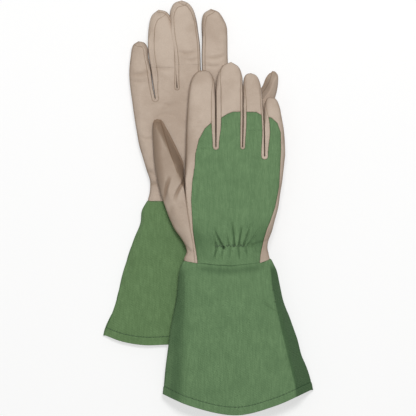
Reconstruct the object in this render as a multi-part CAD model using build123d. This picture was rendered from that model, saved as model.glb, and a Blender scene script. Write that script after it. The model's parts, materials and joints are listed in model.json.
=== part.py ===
from build123d import *

import os
from dataclasses import dataclass
from math import cos, radians, sin, tan

# A pair of gauntlet rose gloves, one lying across the other on a flat surface.
#
# Each glove is drawn in its own frame: origin in the middle of the wrist seam, +Y towards the
# fingertips, the thumb on the -X side, the palm skin at z = 0 and the back skin at z = DEPTH.
# The lower glove is then turned palm up and the upper one laid across it palm down.
# All sizes are in millimetres.

# --- Walls and depths ------------------------------------------------------------------------
LEATHER = 1.0           # goatskin of the hand
CLOTH = 0.8             # twill of the back panel and the cuff
DEPTH = 18.0            # palm skin to back skin of an empty glove lying flat
HAND_ROUND = 8.0        # rounding of the hand's silhouette, palm and back
FINGER_ROUND = 7.6      # rounding of a finger's silhouette
SEAM_IN = 4.4           # the side strips reach this far in from a finger's edge
SLIT_BAND = 5.2         # half width of the strip that lines a slit, at its foot
SLIT_FOOT = 1.5         # the strip's round is centred this far below the foot of the slit
ROOT_DEPTH = 0.5        # a finger's root round ends this far below the foot of its slits

# --- Clearances ------------------------------------------------------------------------------
FOLD_GAP = 0.3          # air between two pieces that fold away from each other
STACK_GAP = 0.6         # air between the lower glove and the upper one

# --- Wrist -----------------------------------------------------------------------------------
WRIST_WIDTH = 91.0      # width of the wrist seam
WRIST_SHIFT = -0.5      # middle of the wrist seam, from the glove's own axis
ELASTIC_WIDTH = 6.0     # width of the elastic sewn inside the back of the wrist
ELASTIC_THICK = 1.2
ELASTIC_LENGTH = 49.0
ELASTIC_MIDDLE = 8.0    # its middle, from the glove's own axis
ELASTIC_RISE = 18.0     # its height above the wrist seam

# --- Cuff ------------------------------------------------------------------------------------
CUFF_LENGTH = 150.0     # wrist seam to the level where the hem is measured
HEM_FOLD = 9.0          # width of the hem's turned-in layer

# --- Thumb -----------------------------------------------------------------------------------
THUMB_ROUND = 6.6       # rounding of the thumb's silhouette
THUMB_SEAM_TOP = (-45.6, 110.0)     # the thumb seam runs from here ...
THUMB_SEAM_FOOT = (-33.0, 4.0)      # ... down to here, just above the wrist seam
THUMB_FOOT_GAP = 2.4    # room between the thumb's foot and the wrist seam, for the thumb's fold

REACH = 260.0           # larger than any piece: the size of the cutting blocks


@dataclass
class Finger:
    """One finger in plan: where it springs from the hand, how it lies and where it folds."""

    name: str
    root_x: float       # middle of the finger at the foot of its slits
    root_y: float       # height of the foot of its slits
    width: float        # width there
    tip_width: float    # width where the tip's round begins
    lean: float         # degrees towards the little finger's side
    tip_y: float        # height of the fingertip
    fold_y: float       # height of the fold across the finger

    def centre(self, y):
        """The middle of the finger at height y."""
        return self.root_x + (y - self.root_y) * tan(radians(self.lean))

    def fold_plane(self):
        """The plane across the finger at its fold, facing the fingertip."""
        along = (sin(radians(self.lean)), cos(radians(self.lean)), 0)
        across = (along[1], -along[0], 0)
        return Plane((self.centre(self.fold_y), self.fold_y, 0), x_dir=across, z_dir=along)


@dataclass
class Cuff:
    """The flared cuff: its width and depth where the hem is measured, and the hem's curve."""

    hem_width: float
    hem_shift: float    # middle of the hem, from the glove's own axis
    hem_low: float      # palm-side face at the hem, in the glove's own height
    hem_high: float     # back-side face at the hem
    hem_round: float    # rounding of the cuff's edges at the hem
    hem_curve: tuple    # three points of the hem's arc in plan: thumb side, middle, other side


@dataclass
class Glove:
    """One glove of the pair, with the way it lies."""

    prefix: str
    fingers: tuple
    thumb_rounds: tuple     # (x, y, radius) of the rounds that the thumb's outline wraps
    cuff: Cuff
    place: Location         # from the glove's own frame to the pair's


# --- How the two gloves lie ------------------------------------------------------------------
CROSS_X = 37.8          # the upper glove's wrist from the lower one's, sideways
CROSS_Y = -63.0         # and towards the hems
UPPER_HEM_DEPTH = 30.0  # the upper cuff stands this open at its hem, on the surface
LOWER_HEM_DEPTH = 8.0   # the lower cuff is pressed this flat at its hem

UPPER_RISE = DEPTH + STACK_GAP
UPPER_HEM_END = -161.3  # lowest point of the upper hem in plan, where its underside touches down

# (x, y, radius) of the rounds that the palm's outline wraps. It runs past the wrist seam and past
# the thumb seam, which then trim it.
PALM_ROUNDS = (
    (27, -6, 18), (43.5, 92, 16), (5, 102.5, 17), (-28, 101.5, 15.5), (-44, 58, 20), (-38, 0, 16),
)

UPPER = Glove(
    prefix="upper",
    fingers=(
        Finger("index", -27.4, 118, 28.8, 25.0, 2.0, 201.7, 150.0),
        Finger("middle", 2.0, 120, 27.0, 23.8, 1.2, 209.2, 153.0),
        Finger("ring", 27.7, 120, 21.0, 19.4, -1.5, 198.1, 146.0),
        Finger("little", 50.0, 112, 20.2, 18.2, -2.0, 173.3, 132.5),
    ),
    thumb_rounds=((-29, 6, 13), (-49, 66, 20), (-61.5, 98, 16), (-69.3, 140.3, 9.8)),
    cuff=Cuff(
        hem_width=160.5,
        hem_shift=11.3,
        hem_low=UPPER_RISE * CUFF_LENGTH / UPPER_HEM_END,
        hem_high=UPPER_HEM_DEPTH - UPPER_RISE,
        hem_round=13.0,
        hem_curve=((-66.8, -138), (9.2, UPPER_HEM_END), (87.5, -134)),
    ),
    place=Pos(CROSS_X, CROSS_Y, UPPER_RISE),
)

LOWER = Glove(
    prefix="lower",
    fingers=(
        Finger("index", -26.4, 118, 27.0, 23.6, 3.2, 202.0, 151.0),
        Finger("middle", 0.5, 120, 24.6, 23.0, 5.6, 211.5, 152.0),
        Finger("ring", 26.9, 120, 22.5, 22.0, 5.4, 201.5, 149.0),
        Finger("little", 50.8, 112, 22.4, 20.4, 5.0, 168.6, 134.0),
    ),
    thumb_rounds=((-29, 6, 13), (-49, 64, 20), (-71.5, 103, 16), (-80.6, 126.8, 10.8)),
    cuff=Cuff(
        hem_width=156.0,
        hem_shift=14.5,
        hem_low=DEPTH - LOWER_HEM_DEPTH,
        hem_high=DEPTH,
        hem_round=3.4,
        hem_curve=((-62.0, -141), (18, -151.6), (90.5, -139)),
    ),
    place=Pos(0, 0, DEPTH) * Rot(0, 180, 0),
)

# Edges of the cloth back panel in plan, from the wrist up, run past the wrist and the folds.
BACK_LEFT = ((-30, -12), (-31, 0), (-36, 34), (-37.6, 65), (-33.6, 100), (-25.2, 126), (-14, 160))
BACK_RIGHT = ((34, -12), (36.8, 0), (42.4, 24), (47.6, 46), (53.4, 76), (56.4, 112), (57, 160))

THUMB_AXIS = Vector(*THUMB_SEAM_TOP, 0) - Vector(*THUMB_SEAM_FOOT, 0)


# --- Building blocks -------------------------------------------------------------------------
def soft_body(rounds, rim, inset):
    """A flat soft body through the glove's depth: its outline wraps the rounds like a belt and
    its rims are rounded. The whole is drawn in by inset."""
    circles = [Pos(x, y) * Circle(radius - inset) for x, y, radius in rounds]
    outline = make_hull(sum((circle.edges() for circle in circles), ShapeList()))
    body = Pos(0, 0, inset) * extrude(outline, DEPTH - 2 * inset)
    levels = body.edges().group_by(Axis.Z)
    return fillet(levels[0] + levels[-1], rim - inset)


def side_of(plane, gap=0.0):
    """Everything that lies more than gap in front of a plane."""
    block = Box(REACH * 2, REACH * 2, REACH, align=(Align.CENTER, Align.CENTER, Align.MIN))
    return plane * Pos(0, 0, gap) * block


def above(height):
    """Everything over a height in the glove's own frame."""
    return side_of(Plane((0, 0, height), z_dir=(0, 0, 1)))


def upright(face):
    """A plan outline run through the whole depth of the glove and beyond."""
    return Pos(0, 0, -REACH / 2) * extrude(face, REACH)


def mirrored(plane):
    """The same plane, facing the other way."""
    return Plane(plane.origin, x_dir=plane.x_dir, z_dir=plane.z_dir * -1)


# --- Fingers ---------------------------------------------------------------------------------
def finger_body(finger, inset):
    """A finger from inside the palm to its tip, as a tapering body with a round tip."""
    root_y = finger.root_y - finger.width / 2 - ROOT_DEPTH
    tip_y = finger.tip_y - finger.tip_width / 2
    rounds = (
        (finger.centre(root_y), root_y, finger.width / 2),
        (finger.centre(tip_y), tip_y, finger.tip_width / 2),
    )
    return soft_body(rounds, FINGER_ROUND, inset)


def side_strip(finger, side):
    """The space of the strip along one side of a finger, side -1 being the thumb's."""
    start_y = finger.root_y
    end_y = finger.tip_y - finger.tip_width / 2
    turn = radians(finger.lean)
    outer = REACH / 4
    rows = []
    for y, width in ((start_y, finger.width), (end_y, finger.tip_width)):
        middle = Vector(finger.centre(y), y)
        across = Vector(cos(turn), -sin(turn)) * side
        rows.append((middle + across * (width / 2 - SEAM_IN), middle + across * outer))
    return upright(make_face(Polyline(rows[0][0], rows[0][1], rows[1][1], rows[1][0], close=True)))


def finger_pieces(glove, finger):
    """The leather pieces of a finger beyond its fold."""
    fold = finger.fold_plane()
    skin = finger_body(finger, 0) - finger_body(finger, LEATHER)
    skin &= side_of(fold, FOLD_GAP / 2)
    upper_half = above(DEPTH / 2)
    sides = {"thumb_side": side_strip(finger, -1), "outer_side": side_strip(finger, 1)}
    # The front leather of the two outer fingers wraps round the hand's own edge.
    wrapped = {"index": "thumb_side", "little": "outer_side"}.get(finger.name)
    both = sides["thumb_side"] + sides["outer_side"]
    back = (skin & upper_half) - both
    front = (skin - upper_half) - both
    if wrapped:
        front += skin & sides[wrapped]
    stem = f"{glove.prefix}_{finger.name}"
    pieces = {f"{stem}_front": front, f"{stem}_back": back}
    for name, space in sides.items():
        if name != wrapped:
            pieces[f"{stem}_{name}"] = skin & space
    return pieces


# --- Hand ------------------------------------------------------------------------------------
def thumb_plane():
    """The upright plane along the thumb seam, facing the palm."""
    foot = Vector(*THUMB_SEAM_FOOT, 0)
    along = THUMB_AXIS.normalized()
    return Plane((foot.X, foot.Y, 0), x_dir=along, z_dir=(along.Y, -along.X, 0))


def hand_body(glove):
    """The palm and the four finger stubs up to their folds, as one solid body."""
    body = soft_body(PALM_ROUNDS, HAND_ROUND, 0)
    for finger in glove.fingers:
        body += finger_body(finger, 0) - side_of(finger.fold_plane(), -FOLD_GAP / 2)
    return body


def hollowed(glove, body, wall):
    """The hand's body emptied to a skin of one wall's thickness, open at the folds."""
    skin = body - soft_body(PALM_ROUNDS, HAND_ROUND, wall)
    for finger in glove.fingers:
        skin -= finger_body(finger, wall)
    return skin


def slit_space(inner, outer):
    """The space of the strip that lines the slit between two neighbouring fingers."""
    foot_y = min(inner.root_y, outer.root_y) - SLIT_FOOT
    top_y = max(inner.fold_y, outer.fold_y) + 5
    rows = []
    for y in (foot_y, top_y):
        right_of_inner = inner.centre(y) + inner.width / 2
        left_of_outer = outer.centre(y) - outer.width / 2
        rows.append(((right_of_inner - SEAM_IN, y), (left_of_outer + SEAM_IN, y)))
    middle = (rows[0][0][0] + rows[0][1][0]) / 2
    foot = Pos(middle, foot_y) * Circle(max(SLIT_BAND, (rows[0][1][0] - rows[0][0][0]) / 2))
    corners = (rows[0][0], rows[0][1], rows[1][1], rows[1][0])
    return upright(foot + make_face(Polyline(*corners, close=True)))


def back_space():
    """The space over the mid-depth that the cloth back panel takes in plan."""
    outline = Polyline(*BACK_LEFT, *reversed(BACK_RIGHT), close=True)
    return upright(make_face(outline)) & above(DEPTH / 2)


def hand_pieces(glove):
    """Palm, back panel, slit strips and wrist elastic of one glove."""
    palm_side = side_of(thumb_plane(), FOLD_GAP / 2)
    over_wrist = side_of(Plane((0, 0, 0), x_dir=(1, 0, 0), z_dir=(0, 1, 0)), FOLD_GAP / 2)
    room = palm_side & over_wrist
    outside = hand_body(glove) & room
    leather = hollowed(glove, outside, LEATHER)
    cloth = hollowed(glove, outside, CLOTH)
    pieces = {}
    slits = None
    for inner, outer in zip(glove.fingers, glove.fingers[1:]):
        space = slit_space(inner, outer)
        pieces[f"{glove.prefix}_slit_{inner.name}_{outer.name}"] = leather & space
        slits = slits + space if slits else space
    panel = back_space() - slits
    pieces[f"{glove.prefix}_back"] = cloth & panel
    pieces[f"{glove.prefix}_palm"] = leather - panel - slits
    elastic = Box(ELASTIC_LENGTH, ELASTIC_WIDTH, ELASTIC_THICK)
    height = DEPTH - CLOTH - ELASTIC_THICK / 2
    pieces[f"{glove.prefix}_elastic"] = Pos(ELASTIC_MIDDLE, ELASTIC_RISE, height) * elastic
    return pieces


def thumb_pieces(glove):
    """Front and back leather of the thumb, outside its seam."""
    rounds = glove.thumb_rounds
    skin = soft_body(rounds, THUMB_ROUND, 0) - soft_body(rounds, THUMB_ROUND, LEATHER)
    skin &= side_of(mirrored(thumb_plane()), FOLD_GAP / 2)
    skin &= side_of(Plane((0, 0, 0), x_dir=(1, 0, 0), z_dir=(0, 1, 0)), THUMB_FOOT_GAP)
    upper_half = above(DEPTH / 2)
    stem = f"{glove.prefix}_thumb"
    return {f"{stem}_front": skin - upper_half, f"{stem}_back": skin & upper_half}


# --- Cuff ------------------------------------------------------------------------------------
def cuff_at(cuff, y):
    """Middle, width, low face, high face and edge rounding of the cuff at height y."""
    share = -y / CUFF_LENGTH
    middle = WRIST_SHIFT + (cuff.hem_shift - WRIST_SHIFT) * share
    width = WRIST_WIDTH + (cuff.hem_width - WRIST_WIDTH) * share
    low = cuff.hem_low * share
    high = DEPTH + (cuff.hem_high - DEPTH) * share
    rounding = HAND_ROUND + (cuff.hem_round - HAND_ROUND) * share
    return middle, width, low, high, rounding


def cuff_body(cuff, inset, over):
    """The cuff's flared tube drawn in by inset, from over past the wrist to over past the hem."""
    sections = []
    for y in (over, -CUFF_LENGTH * 1.12 - over):
        middle, width, low, high, rounding = cuff_at(cuff, y)
        shape = RectangleRounded(width - 2 * inset, high - low - 2 * inset, rounding - inset)
        plane = Plane((middle, y, (low + high) / 2), x_dir=(1, 0, 0), z_dir=(0, -1, 0))
        sections.append(plane * shape)
    return loft(sections, ruled=True)


def hem_space(cuff, lift):
    """The plan between the wrist seam and the hem's curve, the curve being moved up by lift."""
    corners = [(x, y + lift) for x, y in cuff.hem_curve]
    arc = ThreePointArc(*corners)
    far = REACH / 2
    left = ((corners[0][0] - far, corners[0][1] + far / 4), (-far, -FOLD_GAP / 2))
    right = ((far, -FOLD_GAP / 2), (corners[2][0] + far, corners[2][1] + far / 4))
    rim = Polyline(corners[0], left[0], left[1], right[0], right[1], corners[2])
    return upright(make_face([arc, rim]))


def cuff_pieces(glove):
    """Back and palm panels of the cuff and the hem's turned-in layer."""
    cuff = glove.cuff
    tube = cuff_body(cuff, 0, 0) - cuff_body(cuff, CLOTH, 1)
    tube &= hem_space(cuff, 0)
    _, _, low, high, _ = cuff_at(cuff, -CUFF_LENGTH)
    slope = Vector(0, -CUFF_LENGTH, (low + high) / 2 - DEPTH / 2)
    seams = Plane((0, 0, DEPTH / 2), x_dir=(1, 0, 0), z_dir=Vector(1, 0, 0).cross(slope) * -1)
    lining = cuff_body(cuff, CLOTH, 0) - cuff_body(cuff, 2 * CLOTH, 1)
    lining &= hem_space(cuff, 0) - hem_space(cuff, HEM_FOLD)
    back_side = side_of(seams)
    stem = f"{glove.prefix}_cuff"
    return {
        f"{stem}_back": tube & back_side,
        f"{stem}_front": tube - back_side,
        f"{stem}_hem": lining,
    }


# --- The pair --------------------------------------------------------------------------------
def glove_pieces(glove):
    """Every piece of one glove, in the glove's own frame."""
    pieces = hand_pieces(glove) | thumb_pieces(glove) | cuff_pieces(glove)
    for finger in glove.fingers:
        pieces |= finger_pieces(glove, finger)
    return pieces


def pair_pieces():
    """Every piece of the pair, laid together about the middle of the pair's base."""
    laid = {}
    for glove in (LOWER, UPPER):
        for name, piece in glove_pieces(glove).items():
            laid[name] = glove.place * piece
    box = Compound(children=[Compound(piece.solids()) for piece in laid.values()]).bounding_box()
    to_base = Pos(-(box.min.X + box.max.X) / 2, -(box.min.Y + box.max.Y) / 2, -box.min.Z)
    return {name: to_base * piece for name, piece in laid.items()}, to_base


if __name__ == "__main__":
    os.makedirs("parts", exist_ok=True)
    pieces, _ = pair_pieces()
    for name, piece in pieces.items():
        export_step(piece, f"parts/{name}.step")
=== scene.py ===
"""Dresses a pair of gauntlet gardening gloves: leather hands, cloth backs and flared cloth cuffs.

Shapes are worked out in each glove's own plan, in millimetres: x across the hand with the thumb
on the minus side, y from the wrist seam to the fingertips, z from the palm skin at 0 to the back
skin at DEPTH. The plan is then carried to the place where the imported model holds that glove.
"""
import json
import logging
import math
from dataclasses import dataclass, field
from enum import Enum

import bpy
import numpy as np
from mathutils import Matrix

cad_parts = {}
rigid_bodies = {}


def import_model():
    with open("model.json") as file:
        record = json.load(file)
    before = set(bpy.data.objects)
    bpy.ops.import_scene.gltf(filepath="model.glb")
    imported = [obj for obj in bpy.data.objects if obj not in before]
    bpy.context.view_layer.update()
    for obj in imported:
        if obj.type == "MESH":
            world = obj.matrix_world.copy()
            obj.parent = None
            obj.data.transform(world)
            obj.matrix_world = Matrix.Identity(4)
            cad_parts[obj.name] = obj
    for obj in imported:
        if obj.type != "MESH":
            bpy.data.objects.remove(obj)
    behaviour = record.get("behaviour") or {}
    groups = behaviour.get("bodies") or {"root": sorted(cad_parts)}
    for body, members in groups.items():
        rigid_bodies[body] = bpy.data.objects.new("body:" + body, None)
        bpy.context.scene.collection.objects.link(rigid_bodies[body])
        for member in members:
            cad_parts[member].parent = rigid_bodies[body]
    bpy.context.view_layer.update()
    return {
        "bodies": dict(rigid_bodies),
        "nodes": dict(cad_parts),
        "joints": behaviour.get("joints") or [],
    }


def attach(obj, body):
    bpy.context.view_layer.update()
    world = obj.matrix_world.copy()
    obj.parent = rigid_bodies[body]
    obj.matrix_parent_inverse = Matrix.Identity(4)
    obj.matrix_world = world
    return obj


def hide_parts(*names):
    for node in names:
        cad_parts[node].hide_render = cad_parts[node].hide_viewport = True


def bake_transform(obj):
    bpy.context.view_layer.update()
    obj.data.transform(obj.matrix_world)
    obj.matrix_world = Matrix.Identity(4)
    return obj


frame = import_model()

LOG = logging.getLogger("gloves")

MM = 0.001
DEPTH = 18.0            # palm skin to back skin of the glove lying flat
MID = DEPTH / 2         # height of the side seams
CLOSED = 0.006          # a plan gap under this is the edge itself
SHY = 0.05              # the skins stay this far inside their two faces
HOLD = 1.6              # relief fades out where a skin stands lower than 1 / HOLD of its height
FAR = 99.0              # a field's value a long way inside, and with a minus far outside


class Side(Enum):
    """The two skins of a glove."""

    BACK = 1
    PALM = -1


class Region(Enum):
    """What a stretch of skin is sewn from."""

    LEATHER = "leather"
    CLOTH = "cloth"
    LEFT_STRIP = "strip_left"
    RIGHT_STRIP = "strip_right"

    def field(self, f: dict, beyond: bool) -> np.ndarray:
        """The field that is over zero inside the region: the least of those that bound it.

        Args:
            f: a ray's fields.
            beyond: True for what lies beyond the finger's fold, False for the hand's part.

        Returns:
            The field at each grid point.
        """
        reach = f["distal"] if beyond else -f["distal"]
        if self in (Region.LEFT_STRIP, Region.RIGHT_STRIP):
            return np.minimum(reach, f[self.value])
        strip = np.maximum(f["strip_left"], f["strip_right"])
        green = f["green"] if self is Region.CLOTH else -f["green"]
        return np.minimum(np.minimum(reach, -strip), green)


# --- Plan curves -----------------------------------------------------------------------------
def run_along(points: np.ndarray) -> np.ndarray:
    """Length run along a broken line at each of its points, from 0."""
    return np.concatenate([[0.0], np.cumsum(np.linalg.norm(np.diff(points, axis=0), axis=1))])


def column_shares(count: int) -> np.ndarray:
    """Shares from 0 to 1 across a skin, closer together towards both edges.

    Six tenths of a half cosine and four tenths of even steps.

    Args:
        count: how many columns.

    Returns:
        The shares.
    """
    cosine = 0.5 - 0.5 * np.cos(np.linspace(0, math.pi, count))
    return 0.6 * cosine + 0.4 * np.linspace(0, 1, count)


def smooth_curve(points: tuple, count: int) -> np.ndarray:
    """A smooth curve through a few points.

    Cubic Hermite spans whose slopes are the chords between each point's neighbours, spaced by
    the square root of chord length, read at even steps of plan length.

    Args:
        points: the points, each (x, y).
        count: how many points to return.

    Returns:
        An array of count by 2, evenly spaced along the curve.
    """
    p = np.asarray(points, float)
    knots = np.concatenate([[0.0], np.cumsum(np.linalg.norm(np.diff(p, axis=0), axis=1) ** 0.5)])
    slope = np.gradient(p, knots, axis=0)
    t = np.linspace(0, knots[-1], 40 * len(p))
    i = np.clip(np.searchsorted(knots, t, side="right") - 1, 0, len(p) - 2)
    span = (knots[i + 1] - knots[i])[:, None]
    u = (t - knots[i])[:, None] / span
    curve = ((2 * u**3 - 3 * u**2 + 1) * p[i] + (u**3 - 2 * u**2 + u) * span * slope[i]
             + (3 * u**2 - 2 * u**3) * p[i + 1] + (u**3 - u**2) * span * slope[i + 1])
    run = run_along(curve)
    even = np.linspace(0, run[-1], count)
    return np.stack([np.interp(even, run, curve[:, k]) for k in (0, 1)], axis=1)


def line_distance(points: np.ndarray, path: np.ndarray) -> np.ndarray:
    """Distance from each point to a broken line, the least over its straight spans.

    Args:
        points: array of points, the last axis being x, y.
        path: the broken line, n by 2.

    Returns:
        The distances, in the points' own shape without the last axis.
    """
    flat = points.reshape(-1, 2)
    a, b = path[:-1], path[1:]
    along = b - a
    best = np.full(len(flat), np.inf)
    length = np.maximum((along**2).sum(1), 1e-12)
    block = 4000            # points taken at a time, to spare memory
    for start in range(0, len(flat), block):
        q = flat[start:start + block, None, :] - a[None]
        t = np.clip((q * along).sum(2) / length, 0, 1)
        gap = q - t[..., None] * along
        best[start:start + block] = np.sqrt((gap**2).sum(2)).min(1)
    return best.reshape(points.shape[:-1])


def inside(points: np.ndarray, outline: np.ndarray) -> np.ndarray:
    """Whether each point lies within a closed outline, by counting crossings to the right.

    Args:
        points: array of points, the last axis being x, y.
        outline: corners of the outline, n by 2.

    Returns:
        Booleans in the points' own shape without the last axis.
    """
    x, y = points[..., 0], points[..., 1]
    odd = np.zeros(x.shape, bool)
    for (x0, y0), (x1, y1) in zip(outline, np.roll(outline, -1, axis=0)):
        if y0 != y1:
            crosses = (y0 > y) != (y1 > y)
            odd ^= crosses & (x < (x1 - x0) * (y - y0) / (y1 - y0) + x0)
    return odd


def step(value: np.ndarray, low: float, high: float) -> np.ndarray:
    """A smooth rise from 0 at low to 1 at high."""
    t = np.clip((value - low) / (high - low), 0, 1)
    return t * t * (3 - 2 * t)


def bell(value: np.ndarray, width: float) -> np.ndarray:
    """A bell of height 1 about 0."""
    return np.exp(-((value / width) ** 2))


def rounded(gap: np.ndarray, radius: np.ndarray | float, power: float = 2.2) -> np.ndarray:
    """Height of a rounded edge as a share of the full height, from the plan gap to the edge.

    One minus (one minus gap over radius) to the power, all to one over the power. The first
    few microns count as no gap, so that two skins which share an edge close on each other.

    Args:
        gap: distance in plan from the edge.
        radius: how far in the rounding reaches.
        power: 2 for a round edge, less for a leaner one.

    Returns:
        Shares from 0 at the edge to 1.
    """
    t = np.clip((gap - CLOSED) / radius, 0, 1)
    return (1 - (1 - t) ** power) ** (1 / power)


def ripple(points: np.ndarray, waves: tuple) -> np.ndarray:
    """Gentle unevenness of soft skin: a sum of plane sine waves.

    Args:
        points: array of points, the last axis being x, y.
        waves: rows of (wave length in x, wave length in y, phase, height), lengths in mm.

    Returns:
        The heights.
    """
    total = np.zeros(points.shape[:-1])
    for length_x, length_y, phase, height in waves:
        total += height * np.sin(math.tau * (points[..., 0] / length_x + points[..., 1] / length_y)
                                 + phase)
    return total


@dataclass(frozen=True)
class Crease:
    """A soft valley pressed along a short path, with a low bank on each side of it."""

    path: tuple             # (x, y) points, deepest about the middle
    depth: float = 0.8
    width: float = 2.5
    open_end: bool = False  # True: deepest at the path's first point
    press: float = 1.9      # times the depth, since the bank takes some of it back
    bank: float = 0.45      # height of the bank as a share of the valley
    bank_width: float = 2.4     # times the valley's width

    def relief(self, points: np.ndarray) -> np.ndarray:
        """Height change: a bell across the path, faded along it, less a wider bell's bank.

        Args:
            points: array of points, the last axis being x, y.

        Returns:
            The heights, minus in the valley.
        """
        line = smooth_curve(self.path, 24)
        gap = line_distance(points, line)
        start, end = line[0], line[-1]
        run = end - start
        share = np.clip(((points - start) @ run) / (run @ run), 0, 1)
        fade = 1 - share**3 if self.open_end else 1 - np.abs(2 * share - 1) ** 3
        banks = self.bank * bell(gap, self.bank_width * self.width)
        return -self.press * self.depth * fade * (bell(gap, self.width) - banks)


# --- Meshes ----------------------------------------------------------------------------------
@dataclass
class Sheet:
    """A surface on a grid, with values at its points."""

    place: np.ndarray                       # rows by columns by 3
    values: dict = field(default_factory=dict)

    def normals(self) -> np.ndarray:
        """Unit normals: the cross product of the grid's two slopes.

        Returns:
            Rows by columns by 3.
        """
        across = np.gradient(self.place, axis=1)
        along = np.gradient(self.place, axis=0)
        normal = np.cross(across, along)
        return normal / np.maximum(np.linalg.norm(normal, axis=2, keepdims=True), 1e-9)

    def raised(self, height: np.ndarray) -> "Sheet":
        """The same sheet moved along its normals by a height at each point."""
        return Sheet(self.place + self.normals() * height[..., None], self.values)


@dataclass
class Patch:
    """Loose points, faces and point values, ready to join with others."""

    points: np.ndarray
    faces: list
    values: dict


def cut_sheet(sheet: Sheet, keep: np.ndarray, flip: bool = False) -> Patch:
    """The part of a sheet where a field is over zero, cut cleanly along the field's zero line.

    Where the field changes sign along a grid edge, a point is set at the share g0 / (g0 - g1) of
    that edge, and each cell that the line crosses keeps the polygon on the line's inner side.

    Args:
        sheet: the surface.
        keep: the field at each grid point, in millimetres from the line.
        flip: True turns the faces over.

    Returns:
        The patch.
    """
    rows, cols = keep.shape
    g = np.where(np.abs(keep) < 1e-4, 1e-4, keep)
    stack = np.concatenate([sheet.place] + [v[..., None] for v in sheet.values.values()], axis=2)

    def crossings(first: tuple, second: tuple) -> np.ndarray:
        """Points and values where the field is zero between neighbours.

        Args:
            first: the slices that pick the first point of each pair.
            second: the slices that pick the second.

        Returns:
            A row for each pair; the first point's own where the field doesn't change sign.
        """
        g0, g1 = g[first], g[second]
        t = np.where(g0 * g1 < 0, g0 / np.where(g0 == g1, 1.0, g0 - g1), 0.0)[..., None]
        return (stack[first] * (1 - t) + stack[second] * t).reshape(-1, stack.shape[2])

    whole_slice, ahead, behind = slice(None), slice(1, None), slice(None, -1)
    across = crossings((whole_slice, behind), (whole_slice, ahead))
    along = crossings((behind, whole_slice), (ahead, whole_slice))
    index = np.arange(rows * cols).reshape(rows, cols)
    edge_x = rows * cols + np.arange(rows * (cols - 1)).reshape(rows, cols - 1)
    edge_y = edge_x[-1, -1] + 1 + np.arange((rows - 1) * cols).reshape(rows - 1, cols)
    # Each cell's ring: corner, edge, corner, edge and so on, turning one way.
    ring = np.stack([index[:-1, :-1], edge_x[:-1], index[:-1, 1:], edge_y[:, 1:],
                     index[1:, 1:], edge_x[1:], index[1:, :-1], edge_y[:, :-1]], -1).reshape(-1, 8)
    kept = g.ravel()[ring[:, ::2]] > 0
    code = kept @ np.array([1, 2, 4, 8])
    faces = []
    for pattern in range(1, 16):
        corner = [bool(pattern >> k & 1) for k in range(4)]
        slots = []
        for k in range(4):
            slots += [2 * k] if corner[k] else []
            slots += [2 * k + 1] if corner[k] != corner[(k + 1) % 4] else []
        faces += ring[code == pattern][:, slots].tolist()
    if flip:
        faces = [face[::-1] for face in faces]
    everything = np.concatenate([stack.reshape(-1, stack.shape[2]), across, along])
    values = {name: everything[:, 3 + k] for k, name in enumerate(sheet.values)}
    return trimmed(Patch(everything[:, :3], faces, values))


def plain_values(shape: tuple) -> dict:
    """Point values of a surface with no painted edge or fold shade and no dark seam on it."""
    return {"rim": np.full(shape, 9.0), "seam": np.full(shape, 9.0), "fold": np.zeros(shape)}


def whole(sheet: Sheet) -> np.ndarray:
    """A field for cut_sheet that keeps every cell of a sheet."""
    return np.full(sheet.place.shape[:2], 999.0)


def trimmed(patch: Patch) -> Patch:
    """The patch without the points that none of its faces uses.

    Args:
        patch: any patch.

    Returns:
        The same faces on the points that they use.
    """
    if not patch.faces:
        return Patch(np.zeros((0, 3)), [], {name: np.zeros(0) for name in patch.values})
    used = np.unique(np.concatenate([np.asarray(face) for face in patch.faces]))
    new = np.full(len(patch.points), -1)
    new[used] = np.arange(len(used))
    faces = [new[np.asarray(face)].tolist() for face in patch.faces]
    return Patch(patch.points[used], faces, {n: v[used] for n, v in patch.values.items()})


def joined(patches: list) -> Patch:
    """Several patches as one, with points at the same place made one point.

    Args:
        patches: the patches, all with the same values.

    Returns:
        One patch, without the faces that shrink to nothing.
    """
    merge = 0.02            # points in the same cube of this side are one point
    offset, faces = 0, []
    for patch in patches:
        faces += [[i + offset for i in face] for face in patch.faces]
        offset += len(patch.points)
    points = np.concatenate([patch.points for patch in patches])
    names = patches[0].values.keys()
    values = {name: np.concatenate([patch.values[name] for patch in patches]) for name in names}
    key = np.round(points / merge).astype(np.int64)
    _, first, back = np.unique(key, axis=0, return_index=True, return_inverse=True)
    back = back.ravel()
    clean = []
    for face in faces:
        ring = [int(back[i]) for i in face]
        ring = [i for k, i in enumerate(ring) if i != ring[k - 1]]
        if len(ring) >= 3 and len(set(ring)) == len(ring):
            clean.append(ring)
    return trimmed(Patch(points[first], clean, {n: v[first] for n, v in values.items()}))


class Placer:
    """Carries a glove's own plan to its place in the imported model."""

    def __init__(self, origin: tuple, turned: bool) -> None:
        """Keeps the glove's origin in metres, and whether it lies palm up."""
        self.origin = np.asarray(origin, float)
        self.turned = turned

    def world(self, points: np.ndarray) -> np.ndarray:
        """Points of the glove's plan, in metres in the model's frame.

        Args:
            points: n by 3, in millimetres.

        Returns:
            The points turned over if the glove lies palm up, and carried to its place.
        """
        p = np.array(points, float)
        if self.turned:
            p = p * (-1, 1, -1) + (0, 0, DEPTH)
        return p * MM + self.origin


def bare_piece(name: str, points: np.ndarray, faces: list,
               material: bpy.types.Material) -> bpy.types.Object:
    """A smooth mesh object with one finish, linked into the scene.

    Args:
        name: the piece's name.
        points: n by 3, in metres in the model's frame.
        faces: each a ring of point numbers.
        material: its finish.

    Returns:
        The object.
    """
    mesh = bpy.data.meshes.new(name)
    mesh.from_pydata(points.tolist(), [], faces)
    mesh.polygons.foreach_set("use_smooth", np.ones(len(mesh.polygons), bool))
    mesh.materials.append(material)
    piece = bpy.data.objects.new(name, mesh)
    bpy.context.scene.collection.objects.link(piece)
    return piece


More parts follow.
